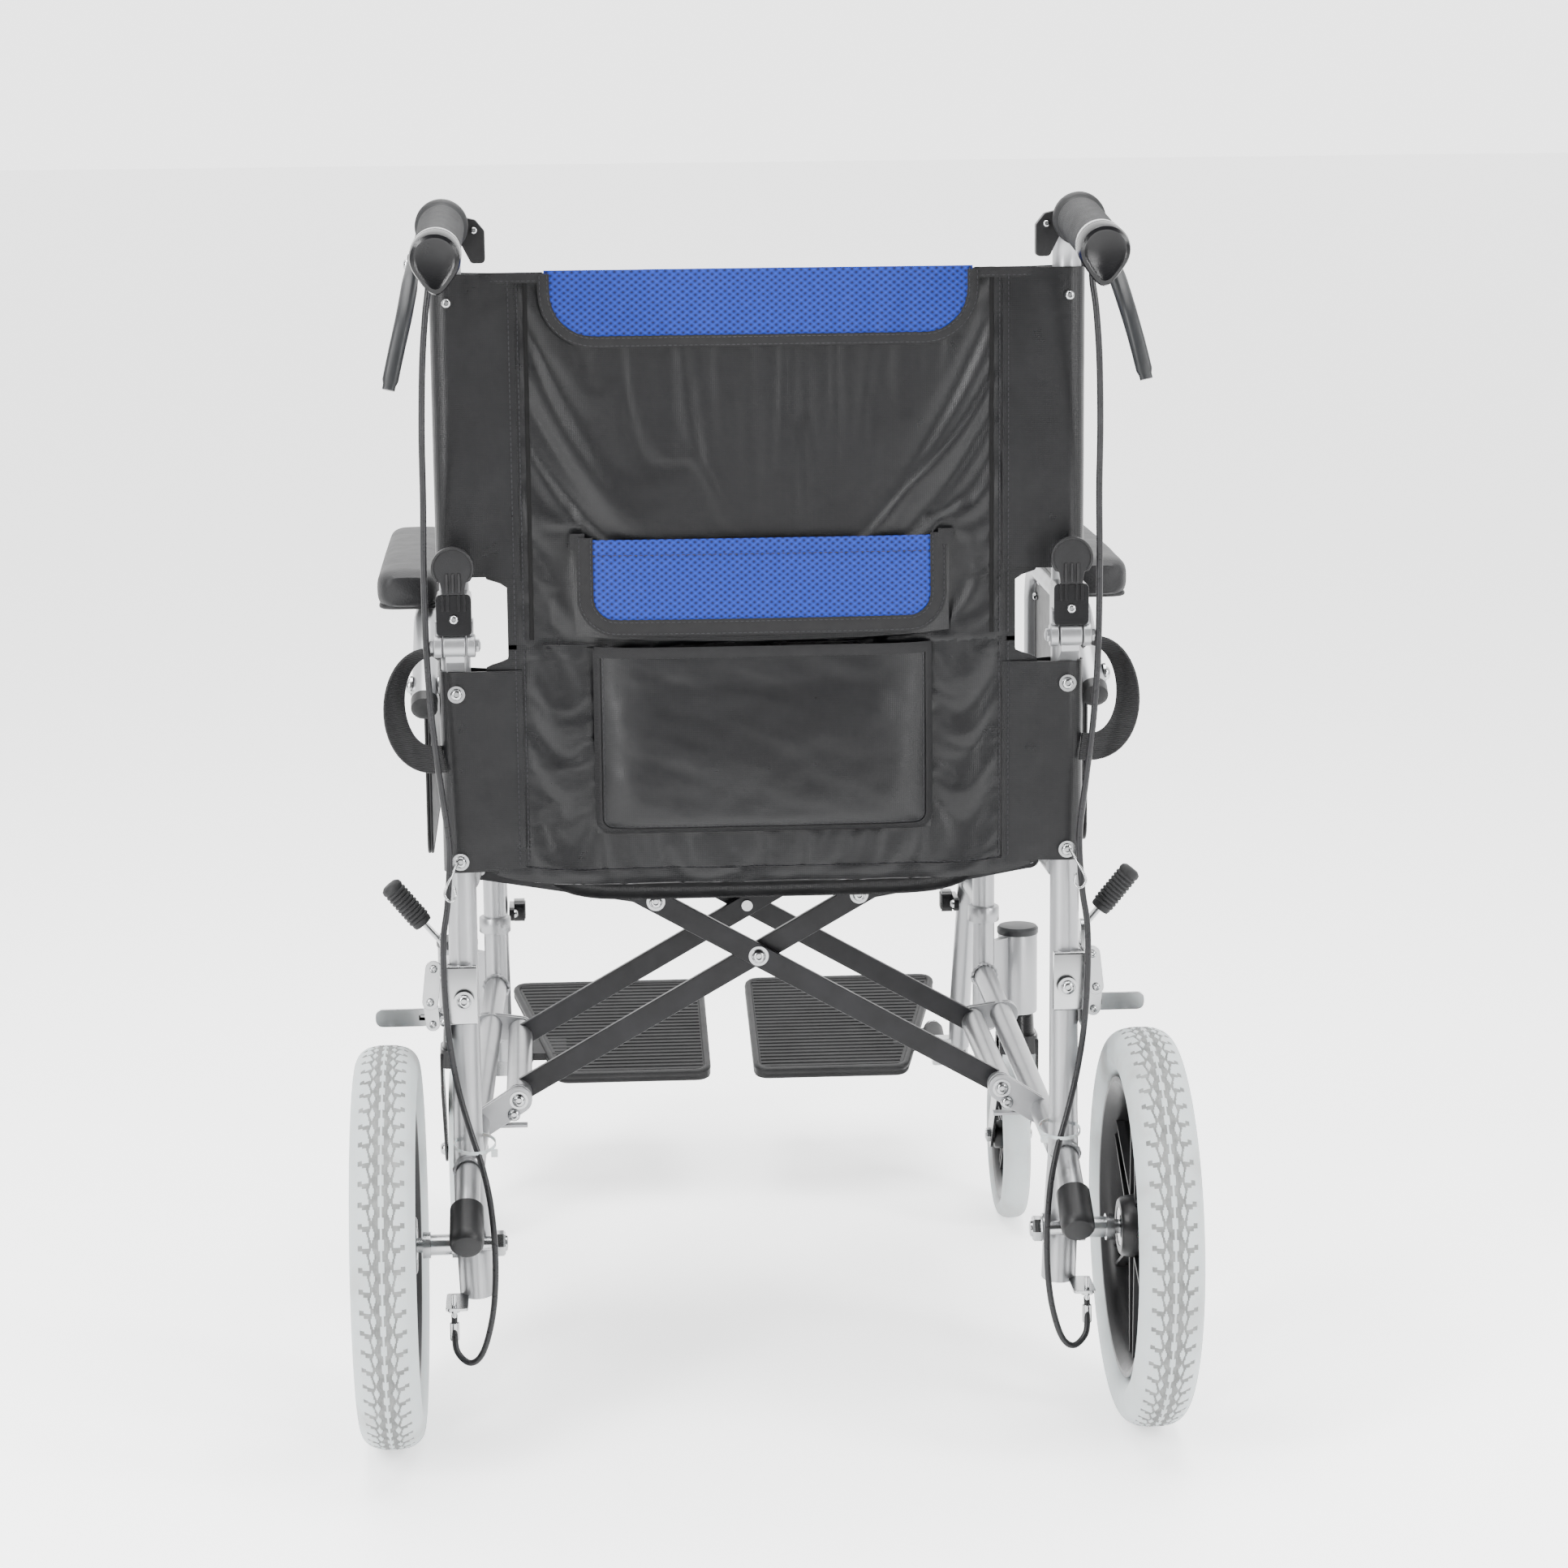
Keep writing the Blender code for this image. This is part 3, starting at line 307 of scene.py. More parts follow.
def nylon(name="nylon_black", colour=(0.002, 0.0021, 0.0026), flat="xz"):
    """Satin woven nylon: fine over-and-under weave, slow sheen changes."""
    mat, shader = new_material(name, colour, 0.42, 0.0)
    shader.inputs["Specular IOR Level"].default_value = 0.26
    n = Nodes(mat, shader)
    warp = n.bands(310.0, "X")
    weft = n.bands(310.0, "Z" if flat == "xz" else "Y")
    weave = n.math("MULTIPLY", warp, weft)
    n.colour(n.math("ADD", n.math("MULTIPLY", weave, 0.5), n.math("MULTIPLY", n.noise(14.0, 5.0), 0.5)),
             [(0.1, tuple(c * 0.6 for c in colour)), (0.45, colour), (0.9, tuple(c * 1.9 for c in colour))])
    n.rough(n.noise(45.0, 4.0), 0.24, 0.36)
    slow = n.bump(n.noise(55.0, 4.0), 0.001, 0.5)
    n.bump(weave, 0.00016, 0.7, under=slow)
    return mat


def ribbed(name, tone, spread, ribs, axis, rough_scale, low, high, depth, strength):
    """Woven tape or webbing with ribs across."""
    mat, shader = new_material(name, tone, 0.7, 0.0)
    n = Nodes(mat, shader)
    rib = n.bands(ribs, axis)
    n.colour(rib, shades(tone, spread))
    n.rough(n.noise(rough_scale, 3.0), low, high)
    n.bump(rib, depth, strength)
    return mat


def blue_mesh():
    """Royal blue spacer mesh: staggered round holes in a knitted face."""
    mat, shader = new_material("blue_mesh", (0.018, 0.095, 0.5), 0.62, 0.0)
    n = Nodes(mat, shader)
    squashed = n.stretched((0.8, 0.0, 1.0))
    turned_rows = n.add("ShaderNodeMapping")
    turned_rows.inputs["Rotation"].default_value = (0.0, math.radians(45.0), 0.0)
    n.link(squashed, turned_rows.inputs["Vector"])
    holes = n.cells(285.0, vector=turned_rows.outputs["Vector"], spread=0.06)
    n.colour(holes,
             [(0.12, (0.0004, 0.002, 0.02)), (0.3, (0.0012, 0.011, 0.12)), (0.62, (0.0024, 0.023, 0.25))])
    n.rough(n.noise(110.0, 3.0), 0.5, 0.75)
    n.bump(holes, 0.0011, 0.9)
    return mat


def stitch_thread():
    mat, shader = new_material("stitch_thread", (0.03, 0.03, 0.033), 0.6, 0.0)
    n = Nodes(mat, shader)
    n.colour(n.noise(400.0, 2.0), shades((0.016, 0.016, 0.018), 0.3))
    n.bump(n.noise(2500.0, 2.0), 0.0001, 0.5)
    return mat


MATS = {
    "silver": finish("silver_paint", (0.27, 0.273, 0.28), 0.08, (9.0, 4.0), (60.0, 5.0), 0.27, 0.42,
                     (900.0, 2.0), 0.00006, 0.5, 0.75),
    "zinc": finish("zinc_plate", (0.36, 0.365, 0.37), 0.06, (70.0, 4.0), (140.0, 4.0), 0.16, 0.28,
                   (1500.0, 2.0), 0.00003, 0.4, 1.0),
    "powder": finish("powder_black", (0.007, 0.007, 0.008), 0.35, (40.0, 4.0), (120.0, 3.0), 0.26, 0.45,
                     (1400.0, 2.0), 0.00008, 0.6),
    "mould": black_mould("black_mould", (0.009, 0.009, 0.0095), 0.34, 0.52),
    "gloss": black_mould("black_gloss", (0.005, 0.005, 0.0055), 0.14, 0.26),
    # painted shade: near-black stand-in for the shadow in the slit beside each back seam and in the lock's
    # slot
    "dark": black_mould("painted_gap_shade", (0.0012, 0.0012, 0.0013), 0.8, 0.95),
    "rim": black_mould("rim_black", (0.008, 0.008, 0.0085), 0.28, 0.42),
    "foot": black_mould("foot_black", (0.01, 0.01, 0.0104), 0.42, 0.58),
    "grip": finish("grip_rubber", (0.013, 0.0132, 0.0137), 0.25, (50.0, 5.0), (150.0, 3.0), 0.5, 0.72,
                   1500.0, 0.00012, 0.6),
    "lever": finish("lever_grey", (0.013, 0.0137, 0.0147), 0.2, (45.0, 5.0), (100.0, 3.0), 0.34, 0.5,
                    (1200.0, 2.0), 0.00007, 0.5),
    "tyre": tyre_grey(),
    # painted shade: the groove material is darker than the tyre so that the shallow grooves read as shaded
    "groove": finish("tyre_groove_painted_shade", (0.15, 0.155, 0.152), 0.25, (120.0, 5.0), (80.0, 3.0), 0.7, 0.9,
                     (900.0, 2.0), 0.0001, 0.5),
    "pad": pad_skin(),
    "nylon": nylon(),
    "nylon_seat": nylon("nylon_seat", flat="xy"),
    "tape": ribbed("binding_tape", (0.006, 0.006, 0.0065), 0.35, 520.0, "DIAGONAL",
                   120.0, 0.6, 0.8, 0.0002, 0.7),
    "webbing": ribbed("webbing_rib", (0.009, 0.009, 0.0095), 0.4, 230.0, "Z", 100.0, 0.55, 0.8, 0.0004, 0.8),
    "mesh": blue_mesh(),
    "cable": finish("cable_black", (0.013, 0.013, 0.014), 0.2, (60.0, 3.0), (200.0, 3.0), 0.22, 0.36,
                    (900.0, 2.0), 0.00005, 0.4),
    "thread": stitch_thread(),
}


# ---- shapes: each is (points, faces), counted from the back posts ----
def joined(*shapes):
    points, faces = [], []
    for more_points, more_faces in shapes:
        base = len(points)
        points += [Vector(p) for p in more_points]
        faces += [tuple(base + i for i in face) for face in more_faces]
    return points, faces


def moved(shape, matrix):
    return [matrix @ Vector(p) for p in shape[0]], shape[1]


def circle(steps):
    """Cosine and sine at even steps once round."""
    return [(math.cos(2 * math.pi * k / steps), math.sin(2 * math.pi * k / steps)) for k in range(steps)]


def soft(value, power):
    """Sign-keeping power: squares up a cosine or a sine."""
    return math.copysign(abs(value) ** power, value)


def closed(path):
    """The path with its first two points again, so that a tube along it has no open end."""
    path = list(path)
    return path + path[:2]


def about(point, angle, axis):
    shift = Matrix.Translation(Vector(point))
    return shift @ Matrix.Rotation(angle, 4, axis) @ shift.inverted()


def bridged(rings, caps=True, loop=False):
    """Faces between rings of equal length; caps close the two ends."""
    points = [p for ring in rings for p in ring]
    size = len(rings[0])
    faces = []
    last = len(rings) if loop else len(rings) - 1
    for i in range(last):
        a, b = i * size, ((i + 1) % len(rings)) * size
        for k in range(size):
            nxt = (k + 1) % size
            faces.append((a + k, a + nxt, b + nxt, b + k))
    if caps and not loop:
        faces.append(tuple(range(size))[::-1])
        faces.append(tuple(range(len(points) - size, len(points))))
    return points, faces


def frames_along(path):
    """A tangent and two crosswise directions at each point, turned as little as possible."""
    out = []
    normal = None
    for i, here in enumerate(path):
        before = (here - path[i - 1]).normalized() if i else None
        after = (path[i + 1] - here).normalized() if i + 1 < len(path) else None
        tangent = ((before or after) + (after or before)).normalized()
        if normal is None:
            side = Vector((1, 0, 0)) if abs(tangent.x) < 0.8 else Vector((0, 0, 1))
            normal = tangent.cross(side).normalized()
        normal = (normal - tangent * normal.dot(tangent)).normalized()
        out.append((tangent, normal, tangent.cross(normal)))
    return out


def tube(path, radius, sides=28):
    """Round bar; radius may be a function of the share of the way along."""
    path = [Vector(p) for p in path]
    rings = []
    for i, (here, (_, normal, across)) in enumerate(zip(path, frames_along(path))):
        r = radius(i / (len(path) - 1)) if callable(radius) else radius
        rings.append([here + r * (c * normal + s * across) for c, s in circle(sides)])
    return bridged(rings)


def rod(a, b, radius, sides=28):
    return tube([a, b], radius, sides)


def bent(points, radius, steps=8):
    """Polyline with its corners rounded to a bend radius."""
    path = [Vector(p) for p in points]
    out = [path[0]]
    for a, b, c in zip(path, path[1:], path[2:]):
        into, away = (b - a).normalized(), (c - b).normalized()
        turn = into.angle(away)
        cut = radius * math.tan(turn / 2)
        centre = b + (away - into).normalized() * (radius / math.cos(turn / 2))
        arm = b - into * cut - centre
        axis = into.cross(away).normalized()
        out += [centre + Matrix.Rotation(turn * k / steps, 3, axis) @ arm for k in range(steps + 1)]
    out.append(path[-1])
    return out


def smooth(points, steps=8):
    """Catmull-Rom curve through given points."""
    route = [Vector(p) for p in points]
    ends = [2 * route[0] - route[1]] + route + [2 * route[-1] - route[-2]]
    out = []
    for a, b, c, d in zip(ends, ends[1:], ends[2:], ends[3:]):
        for k in range(steps):
            t = k / steps
            out.append(0.5 * (2 * b + (c - a) * t + (2 * a - 5 * b + 4 * c - d) * t * t
                              + (3 * b - a - 3 * c + d) * t ** 3))
    out.append(route[-1])
    return out


def spun(a, b, profile, sides=28):
    """Turned piece from a towards b: profile of (distance from a, radius), ends closed."""
    a, b = Vector(a), Vector(b)
    along = (b - a).normalized()
    side = Vector((1, 0, 0)) if abs(along.x) < 0.8 else Vector((0, 0, 1))
    normal = along.cross(side).normalized()
    across = along.cross(normal)
    rings = []
    for distance, r in profile:
        rings.append([a + along * distance + r * (c * normal + s * across) for c, s in circle(sides)])
    return bridged(rings)


def turned(profile, centre, sides, wobble=None):
    """Ring round the X axis from a closed profile of (radius, offset along X)."""
    rings = []
    for k in range(sides):
        angle = 2 * math.pi * k / sides
        ring = []
        for r, h in profile:
            if wobble:
                r, h = wobble(angle, r, h)
            ring.append(Vector(centre) + Vector((h, r * math.cos(angle), r * math.sin(angle))))
        rings.append(ring)
    return bridged(rings, caps=False, loop=True)


def plate(outline, axis, low, high):
    """Flat outline, in the two other coordinates in order, made solid along X, Y or Z."""
    spots = {"x": lambda u, v, w: Vector((w, u, v)), "y": lambda u, v, w: Vector((u, w, v)),
             "z": lambda u, v, w: Vector((u, v, w))}[axis]
    return bridged([[spots(u, v, w) for u, v in outline] for w in (low, high)])


def box(low, high):
    (x0, y0, z0), (x1, y1, z1) = low, high
    return plate([(x0, y0), (x1, y0), (x1, y1), (x0, y1)], "z", z0, z1)


def rounded(points, radius, steps=4):
    """Flat outline with rounded corners."""
    out = []
    count = len(points)
    for i in range(count):
        a, b, c = (Vector(points[(i + k - 1) % count]) for k in range(3))
        into, away = (b - a).normalized(), (c - b).normalized()
        turn = abs(into.angle_signed(away, 0.0))
        reach = min((b - a).length, (c - b).length) * 0.49
        cut = min(radius * math.tan(turn / 2), reach)
        if turn < 0.05:
            out.append(tuple(b))
            continue
        for k in range(steps + 1):
            t = k / steps
            out.append(tuple((b - into * cut).lerp(b, t).lerp(b.lerp(b + away * cut, t), t)))
    return out


def oblong(low, high, radius, steps=4):
    (a, c), (b, d) = low, high
    return rounded([(a, c), (b, c), (b, d), (a, d)], radius, steps)


def capsule(a, b, radius, steps=10):
    heading = math.atan2(b[1] - a[1], b[0] - a[0])
    out = []
    for (cx, cy), start in ((b, heading - math.pi / 2), (a, heading + math.pi / 2)):
        for k in range(steps + 1):
            angle = start + math.pi * k / steps
            out.append((cx + radius * math.cos(angle), cy + radius * math.sin(angle)))
    return out


def bolt(head, inward, radius, washer=True):
    """Domed bolt head with a round socket, pointing out of the surface at head."""
    head, inward = Vector(head), Vector(inward).normalized()
    tall = 0.75 * radius
    shapes = [spun(head, head - inward, [
        (-0.001, radius), (0.35 * tall, radius), (0.8 * tall, 0.82 * radius), (tall, 0.55 * radius),
        (tall, 0.42 * radius), (0.45 * tall, 0.38 * radius)], 20)]
    if washer:
        shapes.append(spun(head, head - inward, [(-0.0012, 1.4 * radius), (0.0006, 1.4 * radius)], 24))
    return joined(*shapes)


def hex_nut(a, b, radius):
    """Nut with chamfered corners and a domed end."""
    length = (Vector(b) - Vector(a)).length
    corners = [(0.0, 0.93 * radius), (0.12 * length, radius), (0.8 * length, radius), (length, 0.85 * radius)]
    dome = [(0.6 * length, 0.66 * radius), (length * 1.12, 0.6 * radius), (length * 1.25, 0.35 * radius)]
    return joined(spun(a, b, corners, 6), spun(a, b, dome, 20))


def band(path, across, thickness):
    """Flat strip along a path; across is half its width as a vector, or one vector per point."""
    path = [Vector(p) for p in path]
    rings = []
    for i, (here, (tangent, _, _)) in enumerate(zip(path, frames_along(path))):
        half = Vector(across[i]) if isinstance(across, list) else Vector(across)
        lift = tangent.cross(half).normalized() * (thickness / 2)
        rings.append([here + half + lift, here - half + lift, here - half - lift, here + half - lift])
    return bridged(rings)


STITCH = 0.0026
STITCH_GAP = 0.0013
THREAD_R = 0.00042


def stitches(path):
    """Row of short thread ends along a path."""
    shapes = []
    travelled = 0.0
    goal = STITCH_GAP
    for a, b in zip(path, path[1:]):
        step = (b - a).length
        while step > 0 and goal <= travelled + step:
            start = a.lerp(b, (goal - travelled) / step)
            along = (b - a) / step
            end = start + along * STITCH
            shapes.append(tube([start - along * 0.0002, start.lerp(end, 0.5), end],
                               lambda t: THREAD_R * (0.45 + 2.2 * t * (1 - t)), 5))
            goal += STITCH + STITCH_GAP
        travelled += step
    return joined(*shapes)


def to_mesh(name, shape):
    mesh = bpy.data.meshes.new(name)
    mesh.from_pydata([tuple(p + Vector((0, DATUM_Y, 0))) for p in map(Vector, shape[0])], [], shape[1])
    mesh.validate()
    bm = bmesh.new()
    bm.from_mesh(mesh)
    bmesh.ops.recalc_face_normals(bm, faces=bm.faces)
    bm.to_mesh(mesh)
    bm.free()
    return mesh


def piece(name, shape, mat, body, cad=(), bevel=0.0, sharp=38):
    """Add one visible piece that rides on a body and may stand for CAD nodes."""
    mesh = to_mesh(name, shape)
    mesh.materials.append(MATS[mat])
    mesh.shade_smooth()
    mesh.set_sharp_from_angle(angle=math.radians(sharp))
    obj = bpy.data.objects.new(name, mesh)
    bpy.context.scene.collection.objects.link(obj)
    if bevel:
        edge = obj.modifiers.new("edge", "BEVEL")
        edge.width = bevel
        edge.segments = 2
        edge.limit_method = "ANGLE"
        edge.angle_limit = math.radians(40)
        edge.harden_normals = True
    if cad:
        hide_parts(*cad)
    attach(obj, body)
    return obj


def pair(name, shape, mat, body, cad=(), bevel=0.0, sharp=38):
    """The right-hand piece and its mirror image; names take _right and _left."""
    flip = Matrix.Scale(-1.0, 4, Vector((1, 0, 0)))
    made = []
    for side, form in (("right", shape), ("left", moved(shape, flip))):
        nodes = [f"{node}_{side}" for node in cad]
        made.append(piece(f"{name}_{side}", form, mat, f"{body}_{side}", nodes, bevel, sharp))
    return made


# ---- side frames ----
def side_frame():
    """Silver tubes of one side, with the tipping lever, the caster housing and a gusset."""
    lower_rear, lower_front = 0.2075, 0.25
    rail_z = 0.43
    post_low, post_wide = 0.108, 0.205
    post_path = [(POST_X - 0.004 * (1 - t), POST_Y - 0.006 * (1 - t), post_low + (post_wide - post_low) * t)
                 for t in (0, 0.25, 0.5, 0.75, 1.0)]
    post_path += [(POST_X, POST_Y, z) for z in (0.24, 0.3, 0.45, BACK_Z - 0.001)]
    rings = []
    for x, y, z in post_path:
        flat = min(1.0, max(0.0, (0.225 - z) / 0.06))
        half_x = POST_R + 0.0022 * flat
        half_y = POST_R + 0.006 * flat
        rings.append([Vector((x + half_x * c, y + half_y * s, z)) for c, s in circle(36)])
    post = bridged(rings)
    rear_y = POST_Y + 0.004
    rails = [
        rod((POST_X - 0.003, rear_y, lower_rear), (FRONT.x, FRONT.y, lower_front), TUBE_R),
        rod((POST_X - 0.004, rear_y, rail_z), (FRONT.x + 0.001, FRONT.y, rail_z), TUBE_R),
        rod((FRONT.x, FRONT.y, 0.2), (FRONT.x, FRONT.y, 0.476), TUBE_R),
        spun((FRONT.x, FRONT.y, 0.476), (FRONT.x, FRONT.y, 0.5),
             [(0, 0.0098), (0.002, 0.0094), (0.003, 0.006)]),
    ]
    tipping = tube(bent([(POST_X, POST_Y, 0.215), (POST_X + 0.0005, -0.03, 0.196),
                         (POST_X + 0.001, -0.06, 0.1785)], 0.03), TUBE_R)
    housing = spun((SWIVEL.x, SWIVEL.y, 0.206), (SWIVEL.x, SWIVEL.y, 0.3), [
        (0.0, 0.015), (0.0005, 0.0168), (0.002, 0.0172), (0.07, 0.0172), (0.0725, 0.0166)], 36)
    lean = math.atan2(SWIVEL.y - FRONT.y, SWIVEL.x - FRONT.x)
    gusset = moved(box((-0.002, -0.0035, 0.214), (0.04, 0.0035, 0.276)),
                   Matrix.Translation((FRONT.x, FRONT.y, 0.0)) @ Matrix.Rotation(lean, 4, "Z"))
    return joined(post, tipping, housing, gusset, *rails)


def weld_beads():
    """Rippled rings where tubes meet."""
    joints = [
        ((POST_X, POST_Y + 0.0112, 0.208), (0, 1, 0.1), 0.0104),
        ((POST_X, POST_Y + 0.0112, 0.43), (0, 1, 0), 0.0104),
        ((FRONT.x, FRONT.y - 0.0096, 0.249), (0, -1, -0.1), 0.0104),
        ((FRONT.x, FRONT.y - 0.0096, 0.43), (0, -1, 0), 0.0104),
        ((POST_X, -0.0085, 0.209), (0, -1, -0.6), 0.0104),
    ]
    shapes = []
    for centre, normal, radius in joints:
        centre = Vector(centre)
        normal = Vector(normal).normalized()
        side = normal.cross(Vector((0, 0, 1))).normalized()
        up = normal.cross(side)
        path = []
        count = 48
        for k in range(count + 1):
            angle = 2 * math.pi * k / count
            wave = 0.0003 * math.sin(16 * angle)
            path.append(centre + (radius + wave) * (math.cos(angle) * side + math.sin(angle) * up)
                        + normal * (0.0012 * math.cos(2 * angle) + 0.0003 * math.cos(16 * angle)))
        shapes.append(tube(path, 0.0017, 8))
    return joined(*shapes)


def side_brackets():
    """Lower pivot ears, link lug, armrest plate and leg rest."""
    shapes = []
    for y_low, y_high, outward in ((0.087, 0.0955, -1), (0.3045, 0.313, 1)):
        rail_z = 0.2075 + 0.0425 * (y_low - POST_Y) / (FRONT.y - POST_Y)
        middle = (y_low + y_high) / 2
        shapes.append(plate(capsule(LOWER_PIVOT, (0.219, rail_z), 0.0105), "y", y_low, y_low + 0.0028))
        shapes.append(plate(capsule(LOWER_PIVOT, (0.219, rail_z), 0.0105), "y", y_high - 0.0028, y_high))
        shapes.append(box((0.1835, y_low + 0.0005, rail_z - 0.0035),
                          (0.216, y_high - 0.0005, rail_z - 0.0008)))
        inside = middle + (0.012 if outward < 0 else -0.012)
        shapes.append(rod((0.19, middle, 0.235), (0.19, inside, 0.235), 0.0045))
    shapes.append(plate(capsule(LINK_TOP, (0.219, 0.43), 0.009), "y", 0.1275, 0.1315))
    shapes.append(plate(oblong((POST_Y, 0.557), (ARM.y + 0.01, 0.588), 0.007),
                        "x", 0.2345, 0.2385))
    shapes.append(box((0.216, 0.376, 0.4245), (ARM.x + 0.01, 0.398, 0.4275)))
    shapes.append(spun((ARM.x, 0.387, 0.4276), (ARM.x, 0.387, 0.46),
                       [(0, 0.0078), (0.008, 0.0078), (0.0095, 0.006)]))
    return joined(*shapes)


def side_fasteners():
    shapes = [
        bolt((0.19, 0.0868, 0.235), (0, 1, 0), 0.0052),
        bolt((0.19, 0.3132, 0.235), (0, -1, 0), 0.0052),
        bolt((0.194, 0.0868, 0.2235), (0, 1, 0), 0.005, False),
        bolt((LINK_TOP[0], 0.1275, LINK_TOP[1]), (0, 1, 0), 0.0045),
        rod((LINK_TOP[0], 0.1195, LINK_TOP[1]), (LINK_TOP[0], 0.132, LINK_TOP[1]), 0.0034, 16),
        bolt((0.2386, ARM.y - 0.026, ARM.z), (-1, 0, 0), 0.0045),
        spun((0.2375, ARM.y, ARM.z), (0.25, ARM.y, ARM.z), [(0, 0.008), (0.0045, 0.008), (0.0052, 0.0072)]),
    ]
    for z in (0.574, 0.447):
        shapes.append(bolt((POST_X, POST_Y - POST_R - 0.0032, z), (0, 1, 0), 0.0046))
    return joined(*shapes)


def hinge_barrel():
    """Silver barrel behind the lower post, with its saddle."""
    barrel = spun((0.2197, BACK_Y, BACK_Z), (0.24, BACK_Y, BACK_Z), [
        (0.0, 0.0072), (0.0006, 0.0083), (0.0162, 0.0083), (0.0168, 0.0072)], 32)
    saddle = plate(rounded([(BACK_Y - 0.004, 0.609), (BACK_Y - 0.001, 0.6), (POST_Y - 0.004, 0.586),
                            (POST_Y - 0.004, BACK_Z - 0.001), (BACK_Y, BACK_Z - 0.001)], 0.003),
                   "x", 0.221, 0.235)
    return joined(barrel, saddle)


def build_sides():
    pair("side_tubes", side_frame(), "silver", "side", ("side_frame",))
    pair("weld_beads", weld_beads(), "silver", "side")
    pair("side_brackets", side_brackets(), "silver", "side", bevel=0.0005)
    pair("side_fasteners", side_fasteners(), "zinc", "side")
    pair("hinge_barrel", hinge_barrel(), "silver", "side", bevel=0.0004)
    cap = spun((POST_X + 0.001, -0.0435, 0.1882), (POST_X + 0.001, -0.0775, 0.1684), [
        (0.0, 0.0118), (0.0008, 0.0128), (0.03, 0.013), (0.0365, 0.0126), (0.0388, 0.0108),
        (0.0395, 0.007)], 40)
    pair("tipping_cap", cap, "mould", "side", ("tip_cap",))
    ring = spun((SWIVEL.x, SWIVEL.y, 0.277), (SWIVEL.x, SWIVEL.y, 0.29), [
        (0.0, 0.0176), (0.0008, 0.0181), (0.0048, 0.0181), (0.0068, 0.0165), (0.0078, 0.01)], 40)
    pair("caster_cap", ring, "lever", "side")


def webbing_handle():
    """Ribbed strap that bows outwards round the armrest end."""
    path = []
    steps = 26
    for k in range(steps + 1):
        t = math.pi * k / steps
        path.append((0.244 + 0.0305 * max(0.0, math.sin(t)) ** 0.9, -0.001 + 0.004 * math.sin(2 * t),
                     0.5645 + 0.0405 * math.cos(t)))
    path = [(0.2385, -0.004, 0.601)] + path + [(0.2385, -0.004, 0.525)]
    half = []
    for k, (_, (tangent, _, _)) in enumerate(zip(path, frames_along([Vector(p) for p in path]))):
        t = k / (len(path) - 1)
        outward = Vector((0, 1, 0)).cross(tangent).normalized()
        twist = math.radians(20 + 48 * t)
        half.append(0.0105 * (math.cos(twist) * Vector((0, 1, 0)) + math.sin(twist) * outward))
    return band(path, half, 0.0021)


# ---- wheels ----
def tyre_profile(outer, height, half_width, power, steps):
    profile = []
    middle = outer - height / 2
    for k in range(steps):
        angle = 2 * math.pi * (k + 0.5) / steps
        c, s = math.cos(angle), math.sin(angle)
        profile.append((middle + height / 2 * soft(c, power),
                        half_width * soft(s, power)))
    return profile


def tread(count, depth, half_width, outer):
    """Grooves of a rear tyre: nested zigzags in the middle and hooked side cuts."""
    def shape(angle, r, h):
        if r < outer - 0.014:
            return r, h
        across = abs(h) / half_width
        turn = (angle * count / (2 * math.pi)) % 1.0
        swing = abs(2 * turn - 1)
        groove = 0.0
        for line in (0.055 + 0.1 * swing, 0.155 + 0.1 * swing, 0.31 + 0.09 * (1 - swing)):
            groove = max(groove, 1.35 - abs(across - line) / 0.034)
        hook = abs(((turn + 0.55 * across) % 1.0) - 0.5)
        if 0.36 < across < 0.7:
            groove = max(groove, 1.2 - hook / 0.13)
        return r - depth * max(0.0, min(1.0, groove)), h
    return shape


def dense_tyre(outer, height, half_width, centre, sides, steps, wobble):
    """Tyre ring whose tread carries more points than its sides."""
    coarse = tyre_profile(outer, height, half_width, 0.78, 72)
    reach = max(r for r, _ in coarse)
    coarse = [(r + (outer - reach) * max(0.0, (r - outer + height) / height), h) for r, h in coarse]
    fine = []
    for (r0, h0), (r1, h1) in zip(coarse, coarse[1:] + coarse[:1]):
        cuts = steps if wobble and min(r0, r1) > outer - 0.009 else 1
        for k in range(cuts):
            t = k / cuts
            fine.append((r0 + (r1 - r0) * t, h0 + (h1 - h0) * t))
    return turned(fine, centre, sides, wobble)


